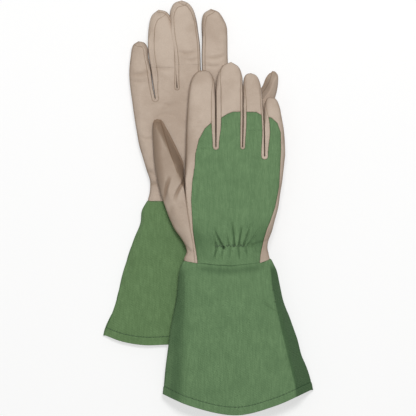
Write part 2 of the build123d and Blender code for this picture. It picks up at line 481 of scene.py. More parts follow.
def make_piece(name: str, patch: Patch, placer: Placer, thickness: float,
               material: bpy.types.Material, body: str) -> bpy.types.Object:
    """A mesh object of one patch, with its wall, finish and body.

    Args:
        name: the piece's name.
        patch: its outer surface in the glove's own plan.
        placer: where the glove lies.
        thickness: wall, grown inwards, or 0 for a closed patch.
        material: its finish.
        body: the CAD body that it rides on.

    Returns:
        The object.
    """
    piece = bare_piece(name, placer.world(patch.points), patch.faces, material)
    mesh = piece.data
    # Point values: rim and fold steer painted shade, seam the darker seams.
    for key in ("rim", "seam", "fold"):
        value = patch.values[key]
        layer = mesh.attributes.new(key, "FLOAT", "POINT")
        layer.data.foreach_set("value", value.astype(np.float32))
    mesh.validate()
    mesh.update()
    if "nx" in patch.values:
        normals = np.stack([patch.values[key] for key in ("nx", "ny", "nz")], axis=1)
        if placer.turned:
            normals = normals * (-1, 1, -1)
        mesh.normals_split_custom_set_from_vertices(normals.tolist())
    if thickness:
        wall = piece.modifiers.new("wall", "SOLIDIFY")
        wall.thickness = thickness * MM
        wall.offset = -1.0
        wall.use_rim = True
    if body:
        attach(piece, body)
    LOG.info("%s: %d faces on %s", name, len(mesh.polygons), body)
    return piece


# --- Finishes --------------------------------------------------------------------------------
Feed = bpy.types.NodeSocket | float | tuple     # what an input takes: a link or a value


class NodeDesk:
    """Lays out shader nodes in one tree, left to right."""

    def __init__(self, tree: bpy.types.NodeTree) -> None:
        """Keeps the tree and starts its first column."""
        self.tree = tree
        self.column = 0

    def add(self, kind: str, settings: dict | None = None, **links: Feed) -> bpy.types.Node:
        """A new node with its settings, and its inputs set or linked by name.

        Args:
            kind: the node's type name.
            settings: properties of the node itself.
            links: input names (spaces as underscores, or i0, i1 ... for a place in the list),
                each with a value or an output socket.

        Returns:
            The node.
        """
        node = self.tree.nodes.new(kind)
        self.column += 1
        node.location = (180 * self.column, -60 * (self.column % 5))
        for key, value in (settings or {}).items():
            setattr(node, key, value)
        for key, value in links.items():
            by_place = key[0] == "i" and key[1:].isdigit()
            socket = node.inputs[int(key[1:])] if by_place else node.inputs[key.replace("_", " ")]
            if isinstance(value, bpy.types.NodeSocket):
                self.tree.links.new(value, socket)
            else:
                socket.default_value = value
        return node

    def math(self, kind: str, a: Feed, b: Feed = 0.0) -> bpy.types.NodeSocket:
        """The result of one arithmetic step on sockets or numbers."""
        return self.add("ShaderNodeMath", {"operation": kind}, i0=a, i1=b).outputs[0]

    def span(self, value: Feed, low: float, high: float, out_low: float = 0.0,
             out_high: float = 1.0) -> bpy.types.NodeSocket:
        """A value carried smoothly from one range to another, held within it.

        Args:
            value: what is carried over.
            low: where the range begins.
            high: where it ends.
            out_low: the result at low.
            out_high: the result at high.

        Returns:
            The result's socket.
        """
        node = self.add("ShaderNodeMapRange", {"interpolation_type": "SMOOTHSTEP"}, Value=value)
        for name, number in (("From Min", low), ("From Max", high), ("To Min", out_low),
                             ("To Max", out_high)):
            node.inputs[name].default_value = number
        return node.outputs[0]

    def noise(self, vector: Feed, scale: float, detail: float = 3.0,
              rough: float = 0.55) -> bpy.types.NodeSocket:
        """A noise value between 0 and 1.

        Args:
            vector: where it is read.
            scale: features per metre.
            detail: octaves.
            rough: how much each octave counts.

        Returns:
            The noise's socket.
        """
        node = self.add("ShaderNodeTexNoise", Vector=vector)
        node.inputs["Scale"].default_value = scale
        node.inputs["Detail"].default_value = detail
        node.inputs["Roughness"].default_value = rough
        return node.outputs["Fac"]

    def blend(self, share: Feed, first: Feed, second: Feed) -> bpy.types.NodeSocket:
        """Two colours mixed.

        Args:
            share: how much of the second, 0 to 1.
            first: a colour.
            second: another.

        Returns:
            The mixed colour's socket.
        """
        node = self.add("ShaderNodeMix", {"data_type": "RGBA"})
        for place, value in ((0, share), (6, first), (7, second)):
            if isinstance(value, bpy.types.NodeSocket):
                self.tree.links.new(value, node.inputs[place])
            else:
                node.inputs[place].default_value = value
        return node.outputs[2]


def effect_group(name: str, inputs: dict, outputs: tuple) -> tuple:
    """An empty shader group with named sockets.

    Args:
        name: the group's name.
        inputs: socket names, each with its type.
        outputs: names of the outputs, all plain values.

    Returns:
        The group, a desk to lay its nodes on, its input node and its output node.
    """
    group = bpy.data.node_groups.new(name, "ShaderNodeTree")
    for label, kind in inputs.items():
        group.interface.new_socket(label, in_out="INPUT", socket_type=kind)
    for label in outputs:
        group.interface.new_socket(label, in_out="OUTPUT", socket_type="NodeSocketFloat")
    desk = NodeDesk(group)
    return group, desk, desk.add("NodeGroupInput"), desk.add("NodeGroupOutput")


def grain_group() -> bpy.types.NodeTree:
    """Leather grain: small rounded cells, finer pores and long soft creases.

    Returns:
        The group: a Height for the bump and a broad Mottle for the colour.
    """
    group, desk, entry, out = effect_group(
        "skin_grain", {"Vector": "NodeSocketVector", "Scale": "NodeSocketFloat"},
        ("Height", "Mottle"))
    place = desk.add("ShaderNodeVectorMath", {"operation": "SCALE"}, i0=entry.outputs["Vector"])
    group.links.new(entry.outputs["Scale"], place.inputs["Scale"])
    at = place.outputs[0]
    cells = desk.add("ShaderNodeTexVoronoi", {"feature": "SMOOTH_F1"}, Vector=at, Scale=900.0)
    pores = desk.noise(at, 2600.0, 2.0)
    creases = desk.noise(at, 130.0, 5.0, 0.62)
    ridge = desk.math("ABSOLUTE", desk.math("SUBTRACT", creases, 0.5))
    soft = desk.span(ridge, 0.0, 0.09)
    height = desk.math("ADD", desk.math("MULTIPLY", cells.outputs["Distance"], 0.35),
                       desk.math("MULTIPLY", pores, 0.25))
    group.links.new(desk.math("ADD", height, desk.math("MULTIPLY", soft, 0.3)),
                    out.inputs["Height"])
    broad = desk.noise(at, 26.0, 4.0, 0.6)
    group.links.new(broad, out.inputs["Mottle"])
    return group


def weave_group() -> bpy.types.NodeTree:
    """Twill weave: fine slanting ribs broken into threads, with slubs and a cloudy dye.

    Returns:
        The group: a Height for the bump and a Cloud for the colour.
    """
    group, desk, entry, out = effect_group(
        "twill_weave", {"Vector": "NodeSocketVector", "Pitch": "NodeSocketFloat"},
        ("Height", "Cloud"))
    at = entry.outputs["Vector"]
    split = desk.add("ShaderNodeSeparateXYZ", Vector=at)
    x, y = split.outputs[0], split.outputs[1]
    turn = desk.math("DIVIDE", math.tau, entry.outputs["Pitch"])
    warp = desk.math("SINE", desk.math("MULTIPLY", x, turn))
    weft = desk.math("SINE", desk.math("MULTIPLY", y, turn))
    slant = desk.math("ADD", desk.math("MULTIPLY", x, 0.5), desk.math("MULTIPLY", y, 0.86))
    rib = desk.math("SINE", desk.math("MULTIPLY", slant, desk.math("MULTIPLY", turn, 0.5)))
    slub = desk.add("ShaderNodeMapping", Vector=at)
    slub.inputs["Scale"].default_value = (620.0, 210.0, 300.0)
    threads = desk.noise(slub.outputs[0], 1.0, 3.0)
    cross = desk.math("MULTIPLY", desk.math("ADD", warp, weft), 0.12)
    height = desk.math("ADD", desk.math("MULTIPLY", rib, 0.3), cross)
    group.links.new(desk.math("ADD", height, desk.math("MULTIPLY", threads, 0.7)),
                    out.inputs["Height"])
    cloud = desk.math("ADD", desk.math("MULTIPLY", desk.noise(at, 55.0, 5.0, 0.65), 0.6),
                      desk.math("MULTIPLY", threads, 0.4))
    group.links.new(cloud, out.inputs["Cloud"])
    return group


def shade_and_seam_group() -> bpy.types.NodeTree:
    """Painted shade where a surface turns under at an edge or lies in a fold, and darker seams.

    Returns:
        The group: Edge, painted shade at rims; Line, dark seams and painted shade in folds.
    """
    group, desk, entry, out = effect_group(
        "edge_soil", {"Vector": "NodeSocketVector", "Rim": "NodeSocketFloat",
                      "Seam": "NodeSocketFloat", "Fold": "NodeSocketFloat"}, ("Edge", "Line"))
    # Painted shade near the rims, its reach made ragged by noise.
    uneven = desk.noise(entry.outputs["Vector"], 90.0, 3.0)
    shift = desk.math("MULTIPLY", desk.math("SUBTRACT", uneven, 0.5), 2.0)
    rim = desk.math("ADD", entry.outputs["Rim"], shift)
    group.links.new(desk.span(rim, 0.0, 2.4, 1.0, 0.0), out.inputs["Edge"])
    # Darker seams, and painted shade in folds and creases.
    line = desk.span(entry.outputs["Seam"], 0.1, 0.8, 0.65, 0.0)
    fold = desk.span(entry.outputs["Fold"], 0.0, 1.0)
    group.links.new(desk.math("ADD", line, fold), out.inputs["Line"])
    return group


def linear(red: int, green: int, blue: int) -> tuple:
    """A display colour as the shader's linear colour.

    Args:
        red: 0 to 255.
        green: 0 to 255.
        blue: 0 to 255.

    Returns:
        Red, green, blue and a whole alpha.
    """
    def channel(value: int) -> float:
        """One channel: the standard display curve undone."""
        v = value / 255
        return v / 12.92 if v <= 0.04045 else ((v + 0.055) / 1.055) ** 2.4
    return (channel(red), channel(green), channel(blue), 1.0)


def blank_material(name: str) -> tuple:
    """A material with an empty node tree.

    Args:
        name: the material's name.

    Returns:
        The material, a desk to lay its nodes on and the socket of its Object coordinates.
    """
    material = bpy.data.materials.new(name)
    material.use_nodes = True
    material.node_tree.nodes.clear()
    desk = NodeDesk(material.node_tree)
    return material, desk, desk.add("ShaderNodeTexCoord").outputs["Object"]


def shade_and_seam_masks(desk: NodeDesk, at: bpy.types.NodeSocket, groups: dict) -> bpy.types.Node:
    """The painted shade and seam group, fed by the piece's own rim, seam and fold values.

    Args:
        desk: where the nodes go.
        at: Object coordinates.
        groups: the shared shader groups.

    Returns:
        The group's node.
    """
    values = {key: desk.add("ShaderNodeAttribute", {"attribute_name": key.lower()}).outputs["Fac"]
              for key in ("Rim", "Seam", "Fold")}
    return desk.add("ShaderNodeGroup", {"node_tree": groups["shade_and_seams"]}, Vector=at, **values)


def covered(desk: NodeDesk, colour: Feed, roughness: Feed, height: Feed, bump: tuple,
            **levels: float) -> None:
    """Ends a material: its bump, its shader and its output.

    Args:
        desk: where the nodes go.
        colour: base colour.
        roughness: of the surface.
        height: what the bump raises.
        bump: the bump's strength, and its height in metres.
        levels: further inputs of the shader, each with a constant.
    """
    relief = desk.add("ShaderNodeBump", Height=height)
    relief.inputs["Strength"].default_value, relief.inputs["Distance"].default_value = bump
    shader = desk.add("ShaderNodeBsdfPrincipled", Base_Color=colour, Roughness=roughness,
                      Normal=relief.outputs[0], **levels)
    desk.add("ShaderNodeOutputMaterial", Surface=shader.outputs[0])


@dataclass(frozen=True)
class Leather:
    """Soft undyed goatskin."""

    name: str
    main: tuple = linear(191, 174, 158)
    shade: tuple = linear(177, 159, 143)
    # Dark specks, darker seams, and painted shade at rims and in creases.
    edge: tuple = linear(128, 106, 86)
    roughness: float = 0.62

    specular: float = 0.25
    bump: tuple = (0.5, 0.0005)     # strength, and height in metres

    def build(self, groups: dict) -> bpy.types.Material:
        """Leather: mottled colour, dark seams, painted edge and crease shade, grain in the bump.

        Args:
            groups: the shared shader groups.

        Returns:
            The material.
        """
        material, desk, at = blank_material(self.name)
        grain = desk.add("ShaderNodeGroup", {"node_tree": groups["grain"]}, Vector=at, Scale=1.0)
        mottle = grain.outputs["Mottle"]
        shade_and_seams = shade_and_seam_masks(desk, at, groups)
        colour = desk.blend(desk.span(mottle, 0.35, 0.68), self.main, self.shade)
        speck = desk.span(desk.noise(at, 1500.0, 2.0), 0.3, 0.75)
        # The edge colour as dark specks, as painted shade at the rims, and on the Line mask as
        # darker seams with painted shade in creases.
        for mask, share in ((speck, 0.16), (shade_and_seams.outputs["Edge"], 0.55),
                            (shade_and_seams.outputs["Line"], 0.8)):
            colour = desk.blend(desk.math("MULTIPLY", mask, share), colour, self.edge)
        roughness = desk.span(mottle, 0.2, 0.8, self.roughness - 0.06, self.roughness + 0.08)
        covered(desk, colour, roughness, grain.outputs["Height"], self.bump,
                Specular_IOR_Level=self.specular)
        return material


@dataclass(frozen=True)
class Twill:
    """Green cotton twill."""

    name: str
    main: tuple = linear(114, 144, 103)
    shade: tuple = linear(90, 118, 82)
    # Darker seams, and painted shade at rims and in creases.
    seam: tuple = linear(52, 78, 50)
    pitch: float = 0.0011   # metres from one thread to the next

    specular: float = 0.12
    sheen: float = 0.02
    bump: tuple = (0.55, 0.0004)    # strength, and height in metres

    def build(self, groups: dict) -> bpy.types.Material:
        """Cloth: clouded dye, pale warp threads, dark seams, painted rim and fold shade, ribbed
        bump.

        Args:
            groups: the shared shader groups.

        Returns:
            The material.
        """
        material, desk, at = blank_material(self.name)
        weave = desk.add("ShaderNodeGroup", {"node_tree": groups["weave"]}, Vector=at,
                         Pitch=self.pitch)
        cloud = weave.outputs["Cloud"]
        shade_and_seams = shade_and_seam_masks(desk, at, groups)
        colour = desk.blend(desk.span(cloud, 0.1, 0.8), self.shade, self.main)
        warp = desk.add("ShaderNodeMapping", Vector=at)
        warp.inputs["Scale"].default_value = (1.0, 0.12, 1.0)
        streak = desk.span(desk.noise(warp.outputs[0], 620.0, 2.0), 0.35, 0.65)
        # The streaks are the warp's own tone; the seam colour is painted shade at the rims, and
        # darker seams with painted shade in creases.
        for mask, share, tint in ((streak, 0.5, self.shade),
                                  (shade_and_seams.outputs["Edge"], 0.45, self.seam),
                                  (shade_and_seams.outputs["Line"], 0.9, self.seam)):
            colour = desk.blend(desk.math("MULTIPLY", mask, share), colour, tint)
        roughness = desk.span(cloud, 0.2, 0.8, 0.84, 0.94)
        covered(desk, colour, roughness, weave.outputs["Height"], self.bump,
                Specular_IOR_Level=self.specular, Sheen_Weight=self.sheen)
        return material


@dataclass(frozen=True)
class Thread:
    """Sewing thread or woven tape in one colour."""

    name: str
    main: tuple
    shade: tuple

    pitch: float = 0.0006           # metres from one ply to the next
    bump: tuple = (0.6, 0.0002)     # strength, and height in metres

    def build(self, groups: dict) -> bpy.types.Material:
        """The thread's material: twisted plies as fine slanting bands.

        Args:
            groups: the shared shader groups.

        Returns:
            The material.
        """
        material, desk, at = blank_material(self.name)
        weave = desk.add("ShaderNodeGroup", {"node_tree": groups["weave"]}, Vector=at,
                         Pitch=self.pitch)
        plies = desk.span(weave.outputs["Height"], -0.1, 0.9)
        # The colour follows the bump: darker in the low parts between the plies, painted shade in
        # the grooves.
        colour = desk.blend(plies, self.shade, self.main)
        covered(desk, colour, desk.span(plies, 0.0, 1.0, 0.6, 0.72), plies, self.bump)
        return material


# --- A glove's plan --------------------------------------------------------------------------
@dataclass(frozen=True)
class Digit:
    """One finger in plan, from where it leaves the hand to its tip."""

    name: str
    left: tuple             # its thumb-side edge, from the foot to the tip
    right: tuple            # its other edge, from the foot to the same tip
    fold: float             # height where it folds
    strips: tuple           # widths of its side strips: back left, back right, palm left, right
    height: float = 8.2     # half its thickness
    tip_height: float = 6.6
    creases: tuple = ()     # on the palm side


@dataclass(frozen=True)
class GlovePlan:
    """The plan of one glove."""

    prefix: str
    turned: bool            # True: lies palm up
    wrapped_tips: bool      # True: the side strips run on over the fingertips
    hand_body: str
    lines: tuple            # five lines up the hand, between and beside the fingers
    digits: tuple
    wrist: tuple            # the wrist seam, from the thumb side across
    panel: tuple            # outline of the cloth back
    thumb_left: tuple
    thumb_right: tuple
    thumb_ridge: tuple
    thumb_facet: float      # width of the side facet inward of the ridge
    thumb_shade: float      # painted shade on it, 1 for the most
    cuff_left: tuple
    cuff_right: tuple
    hem: tuple
    hem_low: float
    hem_high: float
    cuff_folds: tuple       # two lines in plan where the cuff's top turns down to its sides
    cuff_sinks: tuple       # how far the two side seams sink, as shares of half the depth
    cuff_crispness: tuple   # how sharply each side folds: 0 stays round, 1 is a flat facet
    cuff_shades: tuple      # painted shade on each side of the cuff past its fold
    cuff_band_shade: float        # painted shade in the band below the wrist seam
    waves: tuple            # unevenness of the hand
    back_creases: tuple = ()
    palm_creases: tuple = ()
    thumb_creases: tuple = ()
    cuff_creases: tuple = ()


UPPER = GlovePlan(
    prefix="upper", turned=False, wrapped_tips=False, hand_body="upper_hand",
    lines=(
        ((-36, -5), (-35.6, 7), (-39.5, 34), (-43.6, 66), (-44.8, 84), (-44.3, 96), (-43.5, 112),
         (-43.3, 121)),
        ((-14, -5), (-14, 0), (-13.2, 50), (-11.8, 121)),
        ((14, -5), (14, 0), (15, 50), (16.3, 120.7)),
        ((31, -5), (31, 0), (35, 50), (39.4, 111.1)),
        ((45.6, -5), (45.4, 0), (43.4, 9.6), (42.4, 14.4), (43.2, 21.6), (47, 32), (50.2, 44),
         (53.8, 57.7), (55.9, 72.6), (58, 85.5), (60.2, 105), (61, 112)),
    ),
    digits=(
        Digit("index",
              ((-43.3, 121), (-43.1, 130), (-42.2, 151.8), (-40.7, 171.9), (-39.7, 182),
               (-36.6, 193), (-31.6, 199.6), (-24.6, 201.6)),
              ((-11.8, 121), (-12.1, 151.8), (-12.5, 182), (-14.1, 192), (-18.4, 199.4),
               (-24.6, 201.6)),
              150.0, (0, 4.5, 0, 4.0)),
        Digit("middle",
              ((-11.8, 121), (-11.7, 151), (-11.5, 187), (-10.5, 193), (-8.2, 200.6),
               (-4.2, 206.4), (4.3, 209.9)),
              ((16.3, 120.7), (16.8, 151.8), (16.6, 182), (15.6, 196), (12.1, 204.6),
               (4.3, 209.9)),
              153.0, (5.5, 2.8, 4, 4)),
        Digit("ring",
              ((16.3, 120.7), (16.7, 151), (16.8, 188), (18.2, 194.4), (20.6, 197.2),
               (24.9, 198.3)),
              ((39.4, 111.1), (38.9, 141.8), (37.7, 161.9), (36.2, 179), (34.2, 189),
               (30.7, 195.6), (24.9, 198.3)),
              146.0, (3.6, 2.2, 3.5, 3.5)),
        Digit("little",
              ((39.4, 111.1), (39.0, 135), (38.7, 158), (39.6, 166.4), (42.2, 171.6),
               (45.9, 173.5)),
              ((61, 112), (60.9, 120), (59.8, 136.7), (57.3, 151.8), (54.8, 163.9),
               (51.2, 171), (45.9, 173.5)),
              132.5, (6.0, 0, 5, 0)),
    ),
    wrist=((-46, 0.8), (-30.2, -1.6), (-11.1, -3.8), (4.6, -4.6), (18.5, -2.9), (35.9, -0.7),
           (46, 3.0)),
    panel=((-31, -30), (-31, 0), (-36, 34), (-37.8, 65), (-36.6, 84), (-33.8, 102),
           (-33.2, 113.6), (-29.6, 128.6), (-23.5, 139.8), (-16.6, 146.0), (-11.5, 149.4),
           (-5.5, 151.6), (0.5, 155.4), (6.5, 157.6), (13.6, 157.6), (20.7, 157.4),
           (30.7, 157.2), (36.2, 154), (40, 152.6), (46.3, 151.3), (52.8, 145.8), (56.2, 135.7),
           (56.6, 117.6), (54.6, 79), (50.6, 58.2), (45.4, 43), (41.6, 34), (38.2, 22.5),
           (35, 8), (34.2, 0), (34, -30)),
    thumb_left=((-45.6, 1.2), (-44.8, 5), (-42.6, 9.8), (-43.2, 15.4), (-47.8, 24), (-54.8, 33.7),
                (-60.4, 45.4), (-65, 57.6), (-71.3, 78.1), (-75.8, 100.9), (-77.6, 123.7),
                (-78.1, 140), (-77.2, 147.2), (-73.8, 150.2)),
    thumb_right=((-33.4, -1.2), (-32.6, 7), (-38, 34), (-42.3, 60), (-44.9, 80), (-45.6, 96),
                 (-46.2, 103), (-49.6, 111), (-56.4, 125.4), (-64.2, 140.2), (-69.2, 148.4),
                 (-73.8, 150.2)),
    thumb_ridge=((-34, 0), (-40, 34), (-44.6, 66), (-49, 83.8), (-54.8, 100.9), (-60.5, 116.8),
                 (-65, 131.6), (-70.4, 147.6), (-73.8, 152)),
    thumb_facet=7.0,
    thumb_shade=1.0,
    cuff_left=((-45.8, 3), (-48.2, -2), (-50.0, -8), (-51.0, -16), (-52.2, -28), (-53.8, -41),
               (-55.4, -50), (-57.8, -64), (-60, -78), (-62.3, -97), (-64.6, -116),
               (-65.6, -126), (-67.2, -150)),
    cuff_right=((45.6, 3), (48.4, -2), (52.2, -10), (54.8, -21.6), (56.6, -31), (58.6, -40.5),
                (61.6, -50), (65.3, -59.4), (68.4, -69), (71.2, -78.3), (74, -88), (78.4, -106.7),
                (81.6, -116), (84.6, -125.6), (87, -135), (90, -150)),
    hem=((-67.5, -138.5), (-40, -151.0), (9.2, -161.1), (50, -151.5), (88, -134.5)),
    hem_low=-17.9, hem_high=11.4,
    cuff_folds=(
        ((-44, 3), (-44.5, -20), (-45.5, -60), (-47, -100), (-49, -130), (-51, -160)),
        ((43, 3), (45.5, -7.2), (50.7, -39.5), (58.5, -75), (65.5, -104), (71.4, -130),
         (74, -160)),
    ),
    cuff_sinks=(0.45, 0.8), cuff_crispness=(0.35, 1.0), cuff_shades=(0.55, 0.7), cuff_band_shade=0.45,
    waves=((61, 83, 0.4, 0.35), (-43, 57, 2.1, 0.25), (29, -37, 4.0, 0.15)),
    back_creases=(
        Crease(((-3.7, 14.5), (-9.2, 25), (-15.2, 38.2)), 2.2, 1.2, True),
        Crease(((7.6, 17.1), (6.6, 30), (4.4, 46)), 2.0, 1.2, True),
        Crease(((-11.2, 15.5), (-13.6, 26), (-18, 36)), 1.2, 1.0, True),
        Crease(((1.8, 17.1), (0.6, 24), (-1.2, 31)), 1.5, 1.0, True),
        Crease(((12.2, 17.1), (13.6, 27), (15.6, 41)), 1.7, 1.1, True),
        Crease(((17.2, 17.1), (21.0, 28), (26.2, 42)), 1.5, 1.1, True),
        Crease(((22.0, 17.1), (28.5, 27), (35.8, 39)), 1.0, 1.4, True),
        Crease(((-11.1, 14.4), (-12.4, 9), (-13.4, 2)), 1.5, 1.1, True),
        Crease(((-3.3, 15.5), (-5.0, 10), (-6.2, 1)), 1.6, 1.1, True),
        Crease(((3.4, 15.5), (3.0, 10), (2.4, 2)), 1.3, 1.0, True),
        Crease(((11.5, 15.3), (12.2, 10), (12.9, 1)), 1.5, 1.1, True),
        Crease(((18.8, 15.5), (20.2, 10), (21.6, 3)), 1.2, 1.1, True),
        Crease(((27, 16), (30, 11), (33, 7)), 0.8, 1.8, True),
        Crease(((40, 21), (32, 19), (22, 16.6)), 0.9, 2.2, True),
        Crease(((-33, 60), (-31, 72), (-32, 84)), 0.7, 3.0),
        Crease(((-32, 117), (-24, 118.5), (-17, 118)), 0.5, 1.6),
        Crease(((-36, 58), (-31, 53), (-27, 50)), 0.6, 2.0, True),
        Crease(((25, 112), (30, 108), (36, 106)), 0.45, 2.2),
        Crease(((-28, 45), (-31, 30), (-30, 18)), 0.8, 3.4),
    ),
    thumb_creases=(
        Crease(((-60.0, 90), (-63.6, 78), (-66.6, 62)), 2.2, 2.6),
        Crease(((-45.6, 85), (-52.4, 73), (-56.0, 62)), 2.2, 2.2, True),
        Crease(((-46.0, 82), (-43.4, 76), (-41.6, 70)), 1.2, 1.8, True),
        Crease(((-57, 60), (-60, 48), (-55, 38)), 0.8, 3.2),
        Crease(((-43.4, 16), (-40, 12), (-37, 10)), 1.1, 1.8, True),
    ),
    cuff_creases=(
        Crease(((45.5, -4), (50.7, -39.5), (60, -85), (71.4, -132)), 1.3, 2.4),
        Crease(((35, -42), (44, -49), (55, -56)), 0.9, 2.4),
        Crease(((38, 3), (41, -10), (43, -26)), 0.7, 2.6, True),
    ),
)

LOWER = GlovePlan(
    prefix="lower", turned=True, wrapped_tips=True, hand_body="lower_glove",
    lines=(
        ((-36, -5), (-35.6, 7), (-39.5, 34), (-42.8, 66), (-42.2, 96), (-40.6, 121)),
        ((-14, -5), (-14, 0), (-12.8, 50), (-11.6, 121)),
        ((14, -5), (14, 0), (14.2, 50), (14.8, 119.9)),
        ((31, -5), (31, 0), (34, 50), (37.7, 108.7)),
        ((45.6, -5), (45.4, 2), (43.6, 9.6), (43.2, 21.6), (47, 34), (50.6, 46),
         (54.6, 59.7), (57.2, 74), (59.6, 88.5), (62.0, 106)),
    ),
    digits=(
        Digit("index",
              ((-40.6, 121), (-39.4, 136), (-38.4, 152.1), (-38.1, 174.6), (-37.3, 184.3),
               (-34.1, 191.7), (-28.8, 199.3), (-20.7, 202.7)),
              ((-11.6, 121), (-11.2, 140), (-11, 153.2), (-11.4, 169.3), (-11, 188.7),
               (-13.2, 197.6), (-20.7, 202.7)),
              151.0, (0, 4, 0, 3.6),
              creases=(Crease(((-37, 154), (-26, 151), (-14, 150)), 0.9, 2.4),
                       Crease(((-30, 143), (-22, 142), (-14, 145)), 0.5, 2.2))),
        Digit("middle",
              ((-11.6, 121), (-10.2, 139.2), (-9.3, 163.9), (-7.6, 177.8), (-5.7, 190.7),
               (-2, 202.4), (3, 208.6), (9.9, 211.6)),
              ((14.8, 119.9), (16.6, 136), (18.6, 158), (21.6, 178), (22.6, 196),
               (21.4, 202.4), (17.6, 208.8), (9.9, 211.6)),
              152.0, (4, 4, 2.6, 4.4),
              creases=(Crease(((-7, 158), (4, 155.6), (15, 157)), 0.9, 2.4),
                       Crease(((-8, 150), (0, 148), (7, 149)), 0.5, 2.2))),
        Digit("ring",
              ((14.8, 119.9), (15.4, 147.8), (17.2, 174.6), (19.8, 189.6), (22.9, 196.4),
               (27, 200.2), (34.3, 201.8)),
              ((37.7, 108.7), (40, 122), (42.4, 139.2), (44.8, 155), (45.4, 169.3),
               (44.3, 185.3), (41.2, 195.8), (34.3, 201.8)),
              149.0, (4, 4, 1.8, 6.6),
              creases=(Crease(((18, 141), (28, 139), (40, 142)), 0.7, 2.4),)),
        Digit("little",
              ((37.7, 108.7), (40.2, 121), (42.4, 139.2), (44.8, 152.1), (45.6, 161.7),
               (49.2, 167.2), (55.4, 168.7)),
              ((62.0, 106), (63.9, 119.9), (65, 134.9), (63.6, 152.1), (60.9, 164.6),
               (55.4, 168.7)),
              134.0, (4, 0, 4, 0),
              creases=(Crease(((42, 137), (52, 134), (64, 133)), 0.9, 2.4),
                       Crease(((44, 128), (54, 126), (64, 127)), 0.5, 2.2))),
    ),
    wrist=((-46, 1.0), (-20, 0.4), (10, 0.4), (46, 1.0)),
    panel=((-31, -30), (-31, 0), (-36, 34), (-37.8, 65), (-36.6, 84), (-33.8, 102),
           (-31.2, 113.6), (-27.6, 128.6), (-21.5, 139.8), (-16.6, 146.0), (-11.5, 149.4),
           (-5.5, 151.6), (2.5, 155.4), (8.5, 157.6), (17.6, 157.6), (25.7, 157.4),
           (35.7, 157.2), (42.2, 154), (47, 151.6), (53.3, 148.3), (58.8, 141.8), (60.2, 131.7),
           (59, 115.6), (55.6, 75.6), (48.3, 44), (42, 23), (38.5, 0), (38, -30)),
    thumb_left=((-45.6, 1.2), (-45.2, 8), (-46.4, 18), (-52.6, 34), (-60.8, 50), (-70.4, 70),
                (-80, 90), (-88.0, 109), (-91.2, 124), (-90.6, 134), (-85.6, 137.6)),
    thumb_right=((-33.4, 0.8), (-32.6, 7), (-38, 34), (-42.3, 60), (-45.4, 80), (-50.4, 92),
                 (-58.2, 102), (-68.4, 112.6), (-75.2, 121.0), (-79.6, 131), (-85.6, 137.6)),
    thumb_ridge=((-34, 0), (-40, 34), (-46.6, 66), (-55, 88), (-70, 108), (-81, 124),
                 (-86, 139)),
    thumb_facet=6.0,
    thumb_shade=0.25,
    cuff_left=((-45.8, 3), (-47.6, -4), (-50.4, -30), (-55.4, -85), (-62.4, -139), (-64, -150)),
    cuff_right=((45.6, 3), (51.8, -7.9), (53.6, -21.5), (61.4, -42), (71.1, -73.9),
                (80.7, -114.9), (89.6, -140.5), (92.5, -152)),
    hem=((-62.4, -141.4), (-20, -149.6), (22.7, -149.9), (50, -150.4), (72.8, -146.6),
         (89.9, -140.3)),
    hem_low=10.2, hem_high=17.7,
    cuff_folds=(
        ((-43, 3), (-44, -30), (-48, -90), (-56, -160)),
        ((43, 3), (48, -7), (53, -40), (64, -80), (76, -120), (84, -160)),
    ),
    cuff_sinks=(0.2, 0.2), cuff_crispness=(1.0, 1.0), cuff_shades=(0.0, 0.0), cuff_band_shade=0.2,
    waves=((67, 71, 1.4, 0.4), (-47, 53, 0.7, 0.3), (31, -35, 3.0, 0.2)),
    palm_creases=(
        Crease(((46, 100), (34, 104), (20, 101)), 0.5, 2.0),
        Crease(((40, 87), (28, 92), (14, 90)), 0.45, 2.2),
        Crease(((56, 70), (46, 66), (36, 68)), 0.5, 2.0),
        Crease(((46, 17), (38, 19), (28, 17)), 1.2, 2.4, True),
        Crease(((50, 33), (42, 31), (36, 26)), 0.9, 2.6, True),
        Crease(((10, 104), (24, 100), (36, 92)), 0.5, 4.0),
        Crease(((-20, 100), (-4, 106), (10, 104)), 0.5, 4.0),
    ),
    cuff_creases=(
        Crease(((30, 2), (36, -12), (38, -28)), 0.7, 3.0, True),
        Crease(((74, -20), (66, -60), (62, -100)), 0.6, 5.0),
    ),
)


# --- Sub-assemblies --------------------------------------------------------------------------
@dataclass
class Workroom:
    """What every sub-assembly needs: where the glove lies and what it is made of."""

    plan: GlovePlan
    placer: Placer
    leather: bpy.types.Material
    twill: bpy.types.Material
    tape: bpy.types.Material
    thread: bpy.types.Material

    def add(self, stem: str, patches: list, wall: float, cloth: bool, nodes: tuple,
            bodies: tuple) -> bpy.types.Object | None:
        """Makes one sewn piece out of patches, with its finish, riding on its body if given one.

        Args:
            stem: the piece's name without the glove's prefix.
            patches: its surface.
            wall: thickness in millimetres.
            cloth: True for twill, False for leather.
            nodes: CAD nodes that it stands for, without the glove's prefix.
            bodies: one body that it rides on; or two bodies and two plan points, and then it rides
                on neither.

        Returns:
            The piece, or None where the patches hold no face.
        """
        patch = joined(patches)
        if not patch.faces:
            return None
        name = f"{self.plan.prefix}_{stem}"
        finish = self.twill if cloth else self.leather
        body = bodies[0] if len(bodies) == 1 else None
        piece = make_piece(f"{name}_skin", patch, self.placer, wall, finish, body)
        if nodes:
            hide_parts(*(f"{self.plan.prefix}_{node}" for node in nodes))
        if body is None:
            first, second, start, end = bodies
            ends = self.placer.world(np.array([start, end], float))
            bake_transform(piece)
        return piece


